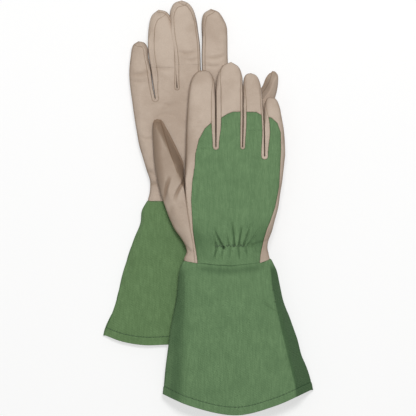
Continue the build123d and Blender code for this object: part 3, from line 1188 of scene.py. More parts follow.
def seam_rise(y: np.ndarray, gap: np.ndarray) -> np.ndarray:
    """How far the thumb's seam stands above mid height, below the crotch of the thumb.

    Args:
        y: height up the glove.
        gap: distance from the seam.

    Returns:
        The rise, full on the seam and gone 7 mm from it.
    """
    most, reach = 6.0, 7.0
    return most * step(y, 2, 16) * (1 - step(y, 62, 84)) * np.clip(1 - gap / reach, 0, 1)


def turned_edge(out: np.ndarray, end: float) -> np.ndarray:
    """Profile of an edge turned under beside a seam: full height at 0.9 to 1.2 mm out, 0 by end."""
    return step(out, -0.5, 0.9) * (1 - step(out, 1.2, end))


@dataclass
class Hand:
    """The hand and fingers of one glove: leather palm, cloth back, side strips and finger caps."""

    room: Workroom
    columns: int = 44
    hand_rows: int = 172
    finger_rows: int = 124
    half_depth: float = 8.9
    outer_round: float = 9.0
    thumb_seam_round: float = 1.8       # rounding down to the thumb's seam
    crotch_round: float = 0.8           # rounding at the feet of two fingers
    pressed_round: float = 1.2          # and further up, where they press together
    finger_round: float = 9.2           # and towards the free fingertips
    slit_widths: tuple = (3.3, 2.5, 3.5)    # of the strips about each slit's foot
    bend: float = 8.0           # a finger's own pieces begin this far below its fold
    leather: float = 1.0
    cloth: float = 0.8
    drawn_in: float = 0.5       # the half depth lessens by this at the wrist
    under_cuff: float = 0.45    # the back lies this much lower under the cuff's edge
    groove: float = 0.3         # depth of a seam
    groove_width: float = 0.9
    strip_lip: float = 0.45     # height of the turned edge beside a strip
    panel_lip: float = 0.5      # and beside the cloth back
    elastic_level: float = 17.0
    elastic_sink: float = 1.5
    elastic_reach: tuple = (-20.0, -12.0, 26.0, 38.0)   # x where it takes hold and lets go
    gather_pitch: float = 2.3
    gather_height: float = 0.22
    cuff_reach: float = 7.0     # how far above the wrist seam the cuff presses the hand
    knuckles: tuple = (100.0, 130.0)    # the depth eases to the finger's own between these
    thumb_crotch: tuple = (84.0, 116.0)     # and the thumb seam's rounding to the free edge's
    unevenness: float = 0.55    # share of the plan's waves
    painted_shade_crease_depth: float = 2.8    # depth of a valley that gets the full painted shade
    painted_gather_shade: float = 0.4    # painted shade on the cloth beside the gathers
    painted_border_shade: float = 0.14   # and painted shade along its border

    def __post_init__(self) -> None:
        """Works out the shared curves of the plan."""
        self.plan = self.room.plan
        self.wrist = np.array(self.plan.wrist)
        self.panel = np.array(self.plan.panel)
        feet = [d.left[0] for d in self.plan.digits] + [self.plan.digits[-1].right[0]]
        self.tops = np.array(feet, float)
        self.edges = [smooth_curve(line, 300) for line in self.plan.lines]

    def wrist_y(self, x: np.ndarray) -> np.ndarray:
        """Height of the wrist seam at x."""
        return np.interp(x, self.wrist[:, 0], self.wrist[:, 1])

    def top_y(self, x: np.ndarray) -> np.ndarray:
        """Height where the fingers' own rows begin, at x."""
        return np.interp(x, self.tops[:, 0], self.tops[:, 1])

    def line_at(self, index: int, share: np.ndarray) -> np.ndarray:
        """x of one of the hand's lines at shares of the way from the wrist to the fingers.

        Args:
            index: which of the five lines.
            share: 0 at the wrist seam to 1 where the fingers begin.

        Returns:
            The x at each share.
        """
        line = self.edges[index]
        low, high = self.wrist_y(line[:, 0]), self.top_y(line[:, 0])
        at = (line[:, 1] - low) / (high - low)
        order = np.argsort(at)
        return np.interp(share, at[order], line[order, 0])

    def plan_grid(self, index: int) -> np.ndarray:
        """Plan points of one finger and the hand below it: one ray.

        Rows run from the wrist to the tip. Across a row, points are shared out between the
        ray's two edges.

        Args:
            index: the finger, 0 for the index finger.

        Returns:
            Rows by columns by 2.
        """
        digit = self.plan.digits[index]
        u = column_shares(self.columns)
        share = np.linspace(0, 1, self.hand_rows)[:, None]
        left, right = self.line_at(index, share[:, 0]), self.line_at(index + 1, share[:, 0])
        x = left[:, None] * (1 - u) + right[:, None] * u
        low, high = self.wrist_y(x), self.top_y(x)
        hand = np.stack([x, low + share * (high - low)], axis=2)
        start = smooth_curve(digit.left, self.finger_rows)
        end = smooth_curve(digit.right, self.finger_rows)
        finger = start[:, None] * (1 - u)[:, None] + end[:, None] * u[:, None]
        finger[0] = hand[-1]
        return np.concatenate([hand, finger[1:]])

    def fields(self, index: int, grid: np.ndarray, side: Side) -> dict:
        """Distances that shape and divide one ray of one skin.

        Args:
            index: the finger.
            grid: the ray's plan points.
            side: which skin.

        Returns:
            left, right: to the ray's edges; body: height share 0 to 1; border: to the nearest
            strip's seam; distal, strip_left, strip_right, green: over zero inside that region.
        """
        digit = self.plan.digits[index]
        y, tip = grid[..., 1], digit.left[-1][1]
        left_edge, right_edge = smooth_curve(digit.left, 160), smooth_curve(digit.right, 160)
        if index == 0:
            left_edge = np.concatenate([self.edges[0], left_edge[1:]])
        if index == 3:
            right_edge = np.concatenate([self.edges[4], right_edge[1:]])
        left, right = line_distance(grid, left_edge), line_distance(grid, right_edge)
        grow = [step(y - self.tops[index + k, 1], 0, 24) for k in (0, 1)]
        free = step(y, tip - 34, tip - 6)
        inner = [self.crotch_round + (self.pressed_round - self.crotch_round) * g
                 + (self.finger_round - self.pressed_round) * free for g in grow]
        round_left = inner[0]
        if index == 0:
            seamed = self.thumb_seam_round
            round_left = seamed + (self.outer_round - seamed) * step(y, *self.thumb_crotch)
        round_right = inner[1]
        if index == 3:
            round_right = np.full(y.shape, self.outer_round)
        body = rounded(left, round_left) * rounded(right, round_right)
        widths = digit.strips[:2] if side is Side.BACK else digit.strips[2:]
        # Both strips of a slit are as wide at its foot, and each runs out at the fingertip or
        # goes on over it to meet the other.
        over = self.plan.wrapped_tips
        taper = 1 + 0.4 * step(y, tip - 20, tip) if over else 1 - step(y, tip - 30, tip - 1)
        strips, border = [], np.full(y.shape, FAR)
        for k, (width, gap) in enumerate(zip(widths, (left, right))):
            if not width:
                strips.append(np.full(y.shape, -FAR))
                continue
            foot = self.slit_widths[index - 1 + k]
            rise = step(y - self.tops[index + k, 1], 1, 26)
            strip = (foot + (width - foot) * rise) * taper - gap
            border = np.minimum(border, np.abs(strip))
            strips.append(np.minimum(strip, (right - left) * (1 - 2 * k)) if over else strip)
        distal = y - (digit.fold - self.bend)
        green = np.full(y.shape, -FAR)
        if side is Side.BACK:
            gap = line_distance(grid, np.concatenate([self.panel, self.panel[:1]]))
            green = np.where(inside(grid, self.panel), gap, -gap)
        return {"left": left, "right": right, "body": body, "distal": distal, "green": green,
                "strip_left": strips[0], "strip_right": strips[1], "border": border}

    def skin(self, index: int, side: Side) -> tuple:
        """One ray of one skin.

        Its height is mid height, plus or minus the half depth times the share that the rounded
        edges leave, and the relief of creases, seams and gathers.

        Args:
            index: the finger.
            side: which skin.

        Returns:
            The sheet, and its fields.
        """
        plan, digit = self.plan, self.plan.digits[index]
        grid = self.plan_grid(index)
        f = self.fields(index, grid, side)
        x, y, tip = grid[..., 0], grid[..., 1], digit.left[-1][1]
        half = self.half_depth + (digit.height - self.half_depth) * step(y, *self.knuckles)
        half += (digit.tip_height - digit.height) * step(y, tip - 40, tip)
        cuffed = y - self.wrist_y(x)
        half -= self.drawn_in * (1 - step(cuffed, 0, self.cuff_reach))
        creases = plan.back_creases if side is Side.BACK else plan.palm_creases + digit.creases
        folds = sum((crease.relief(grid) for crease in creases), np.zeros(y.shape))
        relief = self.unevenness * ripple(grid, plan.waves) + folds
        # Each seam is a narrow groove with a turned edge standing a little beside it.
        seam = f["border"]
        near = np.maximum(f["strip_left"], f["strip_right"])
        relief -= self.groove * bell(seam, self.groove_width)
        relief += self.strip_lip * turned_edge(near, 2.8)
        if side is Side.BACK:
            out = -f["green"]
            lip = turned_edge(out, 3.0) * (1 - step(near, -0.6, 0.4))
            relief += self.panel_lip * lip - self.groove * bell(out, self.groove_width)
            seam = np.minimum(seam, np.abs(out) + 9 * step(near, -0.3, 0.2))
            relief -= self.under_cuff * bell(cuffed, self.cuff_reach) * step(f["body"], 0.3, 0.9)
            # The elastic draws the wrist in across a shallow band.
            band = step(x, *self.elastic_reach[:2]) * (1 - step(x, *self.elastic_reach[2:]))
            above = y - self.elastic_level
            relief -= self.elastic_sink * bell(above, 3.4) * band
            gather = np.sin(math.tau * x / self.gather_pitch) * bell(above, 5.5) * band
            relief += self.gather_height * gather
        relief *= np.clip(f["body"] * HOLD, 0, 1)
        middle = seam_rise(y, f["left"]) if index == 0 else np.zeros(y.shape)
        half = half - side.value * middle
        z = MID + middle + side.value * (half * f["body"] + relief)
        z = np.clip(z, SHY, DEPTH - SHY)
        place = np.concatenate([grid, z[..., None]], axis=2)
        # Painted shade at the edges; fingers that press together get it only along the very line
        # where they meet.
        rim = np.minimum(f["left"] * (4 if index else 1), f["right"] * (4 if index < 3 else 1))
        # Painted shade in the valleys of the creases.
        fold = np.clip(-folds / self.painted_shade_crease_depth, 0, 0.9)
        if side is Side.BACK:
            # Painted shade, most beside the gathers and along the panel's border.
            beside = bell(y - 24.0, 17.0) * (1 - bell(x - 3.0, 15.0))
            edge = step(out, -12, 0) * step(f["green"], -0.5, 0.5)
            fold = np.maximum(fold, self.painted_gather_shade * beside + self.painted_border_shade * edge)
        sheet = Sheet(place, {"rim": rim, "seam": seam, "fold": fold})
        normals = sheet.normals() * side.value
        sheet.values.update({f"n{axis}": normals[..., k] for k, axis in enumerate("xyz")})
        return sheet, f

    def build(self) -> None:
        """Cuts both skins into their sewn pieces and makes them."""
        skins = {(k, side): self.skin(k, side) for k in range(4) for side in Side}
        self.make_hand(skins)
        for index in range(4):
            self.make_finger(index, skins)
        LOG.info("%s hand built", self.plan.prefix)

    def parts_of(self, skins: dict, side: Side, rays: tuple, region: Region,
                 beyond: bool = False) -> list:
        """The patches of one region on several rays of one skin.

        Args:
            skins: every ray of both skins, each a sheet and its fields.
            side: which skin.
            rays: the fingers taken.
            region: what is cut out of them.
            beyond: True for what lies beyond the fingers' folds, False for the hand's part.

        Returns:
            A patch for each ray.
        """
        found = []
        for k in rays:
            sheet, f = skins[(k, side)]
            found.append(cut_sheet(sheet, region.field(f, beyond), flip=side is Side.PALM))
        return found

    def make_hand(self, skins: dict) -> None:
        """The pieces that lie below the folds of the fingers: palm, back and the slits' strips.

        Args:
            skins: every ray of both skins, each a sheet and its fields.
        """
        rays, body = (0, 1, 2, 3), (self.plan.hand_body,)
        palm = self.parts_of(skins, Side.PALM, rays, Region.LEATHER)
        palm += self.parts_of(skins, Side.BACK, rays, Region.LEATHER)
        self.room.add("palm", palm, self.leather, False, ("palm",), body)
        back = self.parts_of(skins, Side.BACK, rays, Region.CLOTH)
        self.room.add("back", back, self.cloth, True, ("back",), body)
        names = [digit.name for digit in self.plan.digits]
        for k in range(3):
            found = []
            for side in Side:
                found += self.parts_of(skins, side, (k,), Region.RIGHT_STRIP)
                found += self.parts_of(skins, side, (k + 1,), Region.LEFT_STRIP)
            stem = f"slit_{names[k]}_{names[k + 1]}"
            self.room.add(stem, found, self.leather, False, (stem,), body)

    def make_finger(self, index: int, skins: dict) -> None:
        """The pieces of one finger beyond its fold.

        Args:
            index: the finger.
            skins: every ray of both skins, each a sheet and its fields.
        """
        digit, rays = self.plan.digits[index], (index,)
        middle = 0.5 * (digit.left[2][0] + digit.right[2][0])
        start = (middle, digit.fold - self.bend, MID)
        end = (middle, digit.fold + self.bend, MID)
        bodies = (self.plan.hand_body, f"{self.plan.prefix}_{digit.name}", start, end)
        for side, word in ((Side.PALM, "front"), (Side.BACK, "back")):
            stem = f"{digit.name}_{word}"
            found = self.parts_of(skins, side, rays, Region.LEATHER, True)
            self.room.add(stem, found, self.leather, False, (stem,), bodies)
        found = self.parts_of(skins, Side.BACK, rays, Region.CLOTH, True)
        self.room.add(f"{digit.name}_tongue", found, self.cloth, True, (), bodies)
        for region, word in ((Region.LEFT_STRIP, "thumb_side"), (Region.RIGHT_STRIP, "outer_side")):
            found = []
            for side in Side:
                found += self.parts_of(skins, side, rays, region, True)
            stem = f"{digit.name}_{word}"
            node = (stem,) if f"{self.plan.prefix}_{stem}" in frame["nodes"] else ()
            self.room.add(stem, found, self.leather, False, node, bodies)


@dataclass
class Thumb:
    """The thumb of one glove, sewn to the hand's edge along a slanting seam."""

    room: Workroom
    columns: int = 56
    rows: int = 210
    half_depth: float = 8.8
    tip_half_depth: float = 6.8
    outer_round: float = 10.5
    seam_round: float = 1.8
    inner_sink: float = 7.0     # how far the inner side seam hangs below mid height
    outer_sink: float = 3.5     # and the outer one
    foot_drawn_in: float = 1.2
    facet_margin: float = 2.5   # the rounding beside the facet is wider than it by this
    outer_reach: float = 9.0    # how far in the outer side's sinking starts
    free_from: tuple = (72.0, 108.0)    # sewn to the hand below these, on its own above
    ridge_height: float = 0.5
    ridge_width: float = 1.3
    unevenness: float = 0.5     # share of the plan's waves
    painted_shade_crease_depth: float = 5.0    # depth of a valley that gets the full painted shade
    leather: float = 1.0
    seam_bend: float = 12.0     # the second point given lies this far outward of its foot

    def __post_init__(self) -> None:
        """Keeps the plan at hand."""
        self.plan = self.room.plan

    def skin(self, side: Side) -> Sheet:
        """One skin of the thumb: a rounded tube, with a ridge and a flat facet inward of it.

        Its height is mid height less the sink of its sides, plus or minus the half depth times
        the share that the rounded edges leave, and the relief of creases and ridge.

        Args:
            side: which skin.

        Returns:
            The sheet.
        """
        plan = self.plan
        left = smooth_curve(plan.thumb_left, self.rows)
        right = smooth_curve(plan.thumb_right, self.rows)
        u = column_shares(self.columns)
        grid = left[:, None] * (1 - u)[:, None] + right[:, None] * u[:, None]
        y = grid[..., 1]
        gap_left, gap_right = line_distance(grid, left), line_distance(grid, right)
        free = step(y, *self.free_from)
        facet_width = plan.thumb_facet + self.facet_margin
        round_right = self.seam_round + (facet_width - self.seam_round) * free
        slope = rounded(gap_right, round_right, 2.2)
        flat = np.clip(gap_right / round_right, 0, 1) ** 1.35
        body = rounded(gap_left, self.outer_round, 1.7) * (slope * (1 - free) + flat * free)
        # Beyond the crotch both side seams hang lower than the thumb's middle.
        facet = free * np.clip(1 - gap_right / facet_width, 0, 1)
        outer = step(y, 50, 100) * np.clip(1 - gap_left / self.outer_reach, 0, 1)
        sink = self.inner_sink * facet + self.outer_sink * outer
        # The closed foot is drawn in towards the wrist seam.
        half = self.half_depth + (self.tip_half_depth - self.half_depth) * step(y, 100, 150)
        half -= self.foot_drawn_in * (1 - step(y, 0, 26))
        ridge = line_distance(grid, smooth_curve(plan.thumb_ridge, 120))
        folds = sum((crease.relief(grid) for crease in plan.thumb_creases), np.zeros(y.shape))
        relief = (self.unevenness * ripple(grid, plan.waves)
                  + self.ridge_height * free * bell(ridge, self.ridge_width) + folds)
        relief *= np.clip(body * HOLD, 0, 1)
        middle = (sink if plan.turned else -sink) + seam_rise(y, gap_right)
        half = half - side.value * middle
        z = np.clip(MID + middle + side.value * (half * body + relief), SHY, DEPTH - SHY)
        place = np.concatenate([grid, z[..., None]], axis=2)
        seam = ridge + 4.0 * (1 - step(y, 78, 96))
        # Painted shade: on the foot, past the crotch, along the outer side and over the inner
        # facet, which turn from the light, and in the crease valleys.
        shade = plan.thumb_shade * (0.3 * step(y, 0, 40) + 0.2 * step(y, 60, 100)
                                    + 0.5 * outer + 0.55 * step(facet, 0.02, 0.4))
        painted_crease_shade = np.clip(-folds / self.painted_shade_crease_depth, 0, 0.6)
        # The rim value brings painted shade to the edges.
        return Sheet(place, {"rim": np.minimum(gap_left, gap_right + 3 * (1 - free)), "seam": seam,
                             "fold": np.clip(painted_crease_shade + shade, 0, 1)})

    def build(self) -> None:
        """Makes the front and back pieces."""
        plan, prefix = self.plan, self.plan.prefix
        bodies = (plan.hand_body,)
        if f"{prefix}_thumb" in frame["bodies"]:
            # Where it has a body of its own, both bodies are given, with two points at and outward
            # of its foot.
            x, y = plan.thumb_left[1]
            bodies = (plan.hand_body, f"{prefix}_thumb", (x, y, MID),
                      (x - self.seam_bend, y, MID))
        for side, word in ((Side.PALM, "front"), (Side.BACK, "back")):
            sheet = self.skin(side)
            patch = cut_sheet(sheet, whole(sheet), flip=side is Side.PALM)
            self.room.add(f"thumb_{word}", [patch], self.leather, False,
                          (f"thumb_{word}",), bodies)
        LOG.info("%s thumb built", prefix)


@dataclass
class Cuff:
    """The flared cloth cuff with its turned hem."""

    room: Workroom
    hand: Hand
    around: int = 360
    rows: int = 200
    cloth: float = 0.8
    lap: float = 0.8            # the cuff's top edge reaches this far above the seam
    hem_width: float = 8.5
    squareness: float = 3.0     # exponent of its section at the wrist
    hem_squareness: float = 3.4
    top_level: float = 3.0      # its edges are read from here down
    length: float = 153.0
    shy: float = 0.15           # it stays this far inside the solid's faces
    floor_relief: float = 0.2   # how far the relief may sink it below mid height
    hem_rise: float = 0.45      # the doubled hem stands out by this
    edge_rise: float = 0.35     # the top edge stands out by this
    edge_press: float = 1.0     # and is pressed down by this where it ends
    hem_groove: float = 0.35    # the sewn line beside the hem is this deep
    unevenness: float = 0.9     # share of the plan's waves
    gentle: float = 13.0        # its thumb-side fold turns into shade over about this width
    sharp: float = 2.4          # and its other fold over this
    bend: float = 14.0          # the second point given lies this far below the wrist seam

    def __post_init__(self) -> None:
        """Works out the cuff's edge curves, each read from the hem up."""
        self.plan = self.room.plan
        self.left = smooth_curve(self.plan.cuff_left, 200)[::-1]
        self.right = smooth_curve(self.plan.cuff_right, 200)[::-1]
        self.folds = [smooth_curve(line, 200)[::-1] for line in self.plan.cuff_folds]
        self.hem = smooth_curve(self.plan.hem, 200)

    def hem_y(self, x: np.ndarray) -> np.ndarray:
        """Height of the hem's edge at x."""
        return np.interp(x, self.hem[:, 0], self.hem[:, 1])

    def section(self, share: np.ndarray, turn: np.ndarray, inset: float) -> np.ndarray:
        """Points of the tube.

        A superellipse between the two plan edges: x goes with the cosine to 2 over n and z with
        the sine to 2 over n, n easing from the wrist's squareness to the hem's.

        Args:
            share: 0 at the wrist to 1 at the hem, one for each row.
            turn: angles about the tube, one for each column.
            inset: how far inside the cloth's outer face.

        Returns:
            Rows by columns by 3.
        """
        plan = self.plan
        level = (self.top_level - share * self.length)[:, None]
        left = np.interp(level, self.left[:, 1], self.left[:, 0]) + inset
        right = np.interp(level, self.right[:, 1], self.right[:, 0]) - inset
        flare = np.clip(share, 0, 1)[:, None]
        low = self.shy + (plan.hem_low - self.shy) * flare + inset
        high = DEPTH - self.shy + (plan.hem_high - DEPTH + self.shy) * flare - inset
        power = 2 / (self.squareness + (self.hem_squareness - self.squareness) * flare)
        c, s = np.cos(turn)[None], np.sin(turn)[None]
        across = np.sign(c) * np.abs(c) ** power
        up = np.sign(s) * np.abs(s) ** power
        x = (left + right) / 2 + (right - left) / 2 * across
        # Past each fold the top runs straight down to the side seam, which sinks as it goes.
        sense = -1 if plan.turned else 1
        sink = np.zeros(x.shape)
        for fold, edge, depth, crisp in zip(self.folds, (left, right), plan.cuff_sinks,
                                            plan.cuff_crispness):
            line = np.interp(level, fold[:, 1], fold[:, 0])
            past = np.clip((x - line) / (edge - line), 0, 1)
            share_out = np.abs((line - (left + right) / 2) / ((right - left) / 2))
            crest = (1 - np.minimum(share_out, 0.999) ** (2 / power)) ** (power / 2)
            straight = crest * (1 - past)
            facet = crisp * step(flare, 0.0, 0.15) * (past > 0) * (up * sense > 0)
            up = up + (straight * sense - up) * facet
            sink += depth * past * step(flare, 0.0, 0.2)
        z = (low + high) / 2 + (high - low) / 2 * (up - sink * sense)
        z = np.clip(z, low, high)
        wrist = self.hand.wrist_y(x) + self.lap
        y = wrist + (self.hem_y(x) - wrist) * flare
        return np.stack([x, y, z], axis=2)

    def even_turns(self) -> np.ndarray:
        """Angles that put the columns about evenly around each half of the middle section.

        Returns:
            One angle for each column, from 0 round to a whole turn.
        """
        fine = np.linspace(0, math.pi, 4001)
        row = self.section(np.array([0.5]), fine, 0.0)[0]
        run = run_along(row)
        half = np.interp(np.linspace(0, run[-1], self.around // 2 + 1), run, fine)
        return np.concatenate([half, half[1:] + math.pi])

    def relief(self, flat: np.ndarray, hem: np.ndarray, top: np.ndarray,
               up: np.ndarray) -> np.ndarray:
        """Height of folds, of the doubled hem and of the turned top edge, along the normal.

        Args:
            flat: the tube's points in plan.
            hem: their distance above the hem.
            top: their distance below the top edge.
            up: how much each faces upward as the glove lies, -1 to 1.

        Returns:
            The heights.
        """
        height = self.hem_rise * (1 - step(hem, self.hem_width - 0.6, self.hem_width + 0.8))
        height -= self.hem_groove * bell(hem - self.hem_width, 0.7)
        # The top edge stands a little proud and is pressed down onto the hand.
        height += self.edge_rise * np.exp(-top / 3.0) - self.edge_press * np.exp(-top / 0.5)
        faces_up = step(up, -0.2, 0.3)
        folds = self.unevenness * ripple(flat, self.plan.waves) * step(top, 0, 30)
        for crease in self.plan.cuff_creases:
            folds += crease.relief(flat)
        return height + folds * faces_up

    def shade(self, x: np.ndarray, y: np.ndarray, top: np.ndarray) -> np.ndarray:
        """Painted shade: past each side fold and in a band below the wrist seam.

        Args:
            x: across the cuff.
            y: up the cuff.
            top: distance below the top edge.

        Returns:
            The shade, 0 to 1.
        """
        tone = np.zeros(x.shape)
        for fold, sense, full in zip(self.folds, (-1, 1), self.plan.cuff_shades):
            past = (x - np.interp(y, fold[:, 1], fold[:, 0])) * sense
            soft = self.gentle if sense < 0 else self.sharp
            rise = step(past, -soft, soft / 2) * (1 - 0.4 * step(past, 7, 15) * (sense < 0))
            tone += full * rise * step(top, 0, 14)
        band = bell(top - 6.0, 5.0) * step(x, -42, -22) * (1 - step(x, 26, 46))
        return np.clip(tone + self.plan.cuff_band_shade * band, 0, 1)

    def build(self) -> None:
        """Makes the two panels and the turned hem."""
        plan, prefix = self.plan, self.plan.prefix
        share, turn = np.linspace(0, 1, self.rows), self.even_turns()
        each_row = np.ones((self.rows, 1))
        place = self.section(share, turn, 0.05)
        x, y = place[..., 0], place[..., 1]
        up = np.sin(turn)[None] * each_row * (-1 if plan.turned else 1)
        hem = y - self.hem_y(x)
        top = self.hand.wrist_y(x) + self.lap - y
        sheet = Sheet(place).raised(self.relief(place[..., :2], hem, top, up))
        z = sheet.place[..., 2]
        floor = np.maximum(z, place[..., 2] - self.floor_relief)
        sheet.place[..., 2] = np.where(place[..., 2] < MID, floor, z)
        # The rim value brings painted shade towards the tube's sides; fold carries the painted
        # shade on the half that faces up.
        sheet.values = {"rim": 60.0 * (1 - np.abs(np.cos(turn)))[None] * each_row,
                        "seam": np.minimum(np.abs(hem - self.hem_width), 0.5 * np.abs(top)),
                        "fold": self.shade(x, y, top) * (up > 0)}
        bodies, cuff = (plan.hand_body,), f"{prefix}_cuff"
        if cuff in frame["bodies"]:
            bodies = (plan.hand_body, cuff, (0, 0, MID), (0, -self.bend, MID))
        half = self.around // 2
        for rows, word in ((slice(0, half + 1), "back"), (slice(half, None), "front")):
            part = Sheet(sheet.place[:, rows], {n: v[:, rows] for n, v in sheet.values.items()})
            patch = cut_sheet(part, whole(part))
            self.room.add(f"cuff_{word}", [patch], self.cloth, True, (f"cuff_{word}",), bodies)
        self.make_hem(turn, cuff if cuff in frame["bodies"] else plan.hand_body)
        LOG.info("%s cuff built", prefix)

    def make_hem(self, turn: np.ndarray, body: str) -> None:
        """The cloth turned in at the hem, lying against the inside of the panels.

        Args:
            turn: angles about the tube, one for each column.
            body: the CAD body that it rides on.
        """
        end, rows, inset = 0.999, 14, 1.0
        share = np.linspace(1 - self.hem_width / 150, end, rows)
        place = self.section(share, turn, inset)
        sheet = Sheet(place, plain_values(place.shape[:2]))
        patch = cut_sheet(sheet, whole(sheet))
        self.room.add("cuff_hem", [patch], self.cloth, True, ("cuff_hem",), (body,))


# --- Sewing ----------------------------------------------------------------------------------
def surface_height(pieces: list, points: np.ndarray) -> np.ndarray:
    """Height of the finished skins at points in plan, found by dropping rays on them.

    Args:
        pieces: objects to test, at rest.
        points: n by 2, in metres in the model's frame.

    Returns:
        Heights of the highest skin in metres, with nan where no skin lies.
    """
    start = 0.2             # well above every skin, in metres
    heights = np.full(len(points), np.nan)
    for k, (x, y) in enumerate(points):
        for piece in pieces:
            hit, at, _, _ = piece.ray_cast((x, y, start), (0, 0, -1.0))
            if hit and not at.z < heights[k]:
                heights[k] = at.z
    return heights


def stitch_mesh(starts: np.ndarray, ends: np.ndarray, radius: float) -> tuple:
    """Short plump stitches, each a capsule bowed a little out of the cloth.

    Each is a ring of six points swept over five stations along it; the stations' radius follows
    a half circle and their height a shallow bow.

    Args:
        starts: where each stitch enters, n by 3, in metres.
        ends: where it leaves, n by 3.
        radius: of the thread, in metres.

    Returns:
        Points and faces.
    """
    stations = np.array([0.0, 0.14, 0.5, 0.86, 1.0])
    girth = np.array([0.25, 0.85, 1.0, 0.85, 0.25])
    bow = np.array([-0.7, 0.1, 0.55, 0.1, -0.7])
    along = ends - starts
    along_unit = along / np.maximum(np.linalg.norm(along, axis=1, keepdims=True), 1e-9)
    up = np.tile((0.0, 0.0, 1.0), (len(starts), 1))
    side = np.cross(along_unit, up)
    side /= np.maximum(np.linalg.norm(side, axis=1, keepdims=True), 1e-9)
    lift = np.cross(side, along_unit)
    sides, count = 6, len(starts)
    each = sides * len(stations)        # points in one stitch
    turn = np.linspace(0, math.tau, sides, endpoint=False)
    ring = side[:, None] * np.cos(turn)[None, :, None] + lift[:, None] * np.sin(turn)[None, :, None]
    middle = starts[:, None] + along[:, None] * stations[None, :, None]
    middle = middle + lift[:, None] * (bow * radius)[None, :, None]
    points = middle[:, :, None] + ring[:, None] * (girth * radius)[None, :, None, None]
    first = np.arange(count)[:, None] * each
    base = first[..., None] + np.arange(len(stations) - 1)[None, :, None] * sides
    k, after = np.arange(sides), (np.arange(sides) + 1) % sides
    quads = np.stack([base + k, base + after, base + sides + after, base + sides + k], -1)
    faces = quads.reshape(-1, 4).tolist()
    faces += (first + k[::-1]).tolist() + (first + each - sides + k).tolist()
    return points.reshape(-1, 3), faces


@dataclass
class Sewing:
    """Threads that show: the hem's row, and the zigzag over the upper glove's elastic."""

    room: Workroom
    cuff: Cuff
    thread: float = 0.38        # radius
    stitch: float = 2.6         # length of one stitch
    gap: float = 0.9            # between two of them
    margin: float = 3.0         # left free at both ends of the hem's row
    zigzag_pitch: float = 1.6
    zigzag_height: float = 3.0
    zigzag_ends: tuple = (-12.5, 22.5)
    zigzag_level: float = 17.0

    def lay(self, name: str, path: np.ndarray, skins: list, body: str) -> None:
        """Lays one row of stitches along a path in plan, on the skins under it.

        Args:
            name: the piece's name.
            path: n by 2, in millimetres.
            skins: the objects that it lies on.
            body: the CAD body that it rides on.
        """
        run = run_along(path)
        begin = np.arange(1.0, run[-1] - self.stitch, self.stitch + self.gap)
        starts, ends = (np.stack([np.interp(at, run, path[:, k]) for k in (0, 1)], axis=1)
                        for at in (begin, begin + self.stitch))
        self.place(name, starts, ends, skins, body)

    def place(self, name: str, starts: np.ndarray, ends: np.ndarray, skins: list,
              body: str) -> None:
        """Seats stitches given by their ends in plan on the skins and makes one mesh of them.

        Args:
            name: the piece's name.
            starts: n by 2, where each stitch enters, in millimetres.
            ends: n by 2, where it leaves.
            skins: the objects that they lie on.
            body: the CAD body that they ride on.
        """
        steepest = 0.003    # a stitch whose ends differ more in height is left out, in metres
        room, radius = self.room, self.thread * MM
        sides = []
        for flat in (starts, ends):
            place = np.concatenate([flat, np.zeros((len(flat), 1))], axis=1)
            world = room.placer.world(place)
            world[:, 2] = surface_height(skins, world[:, :2]) + 0.3 * radius
            sides.append(world)
        fine = ~np.isnan(sides[0][:, 2] + sides[1][:, 2])
        fine &= np.abs(sides[0][:, 2] - sides[1][:, 2]) < steepest
        if not fine.any():
            return
        points, faces = stitch_mesh(sides[0][fine], sides[1][fine], radius)
        piece = bare_piece(name, points, faces, room.thread)
        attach(piece, body)
        LOG.info("%s: %d stitches on %s", name, int(fine.sum()), body)

    def build(self) -> None:
        """Sews the rows that show on this glove."""
        plan, prefix = self.room.plan, self.room.plan.prefix
        body = f"{prefix}_cuff" if f"{prefix}_cuff" in frame["bodies"] else plan.hand_body
        cuffs = [bpy.data.objects[f"{prefix}_cuff_{word}_skin"] for word in ("back", "front")]
        hem = self.cuff.hem + (0, self.cuff.hem_width)
        inset = (hem[:, 0] > hem[0, 0] + self.margin) & (hem[:, 0] < hem[-1, 0] - self.margin)
        self.lay(f"{prefix}_hem_stitches", hem[inset], cuffs, body)
        if plan.turned:
            return
        backs = [bpy.data.objects[f"{prefix}_back_skin"]]
        x = np.arange(*self.zigzag_ends, self.zigzag_pitch)
        y = self.zigzag_level + self.zigzag_height / 2 * np.where(np.arange(len(x)) % 2, 1, -1)
        zigzag = np.stack([x, y], axis=1)
        self.place(f"{prefix}_elastic_stitches", zigzag[:-1], zigzag[1:], backs, plan.hand_body)


@dataclass(frozen=True)
class Elastic:
    """The gathered elastic tape sewn inside the back of the wrist, in millimetres."""

    middle: float = 8.0
    length: float = 47.0
    level: float = 17.5
    width: float = 6.0
    thick: float = 1.0
    depth: float = 7.4      # below the back skin
    wave: float = 0.25
    pitch: float = 2.3      # from one wave to the next

    def build(self, room: Workroom) -> None:
        """A tape shirred in small waves: its height goes with the sine of its length.

        Args:
            room: the glove's place and finishes.
        """
        x = np.linspace(self.middle - self.length / 2, self.middle + self.length / 2, 241)
        y = np.linspace(self.level - self.width / 2, self.level + self.width / 2, 9)
        gx, gy = np.meshgrid(x, y)
        z = DEPTH - self.depth + self.wave * np.sin(math.tau * gx / self.pitch)
        sheet = Sheet(np.stack([gx, gy, z], axis=2), plain_values(z.shape))
        patch = cut_sheet(sheet, whole(sheet))
        plan = room.plan
        piece = make_piece(f"{plan.prefix}_elastic_tape", patch, room.placer, self.thick,
                           room.tape, plan.hand_body)
        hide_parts(f"{plan.prefix}_elastic")


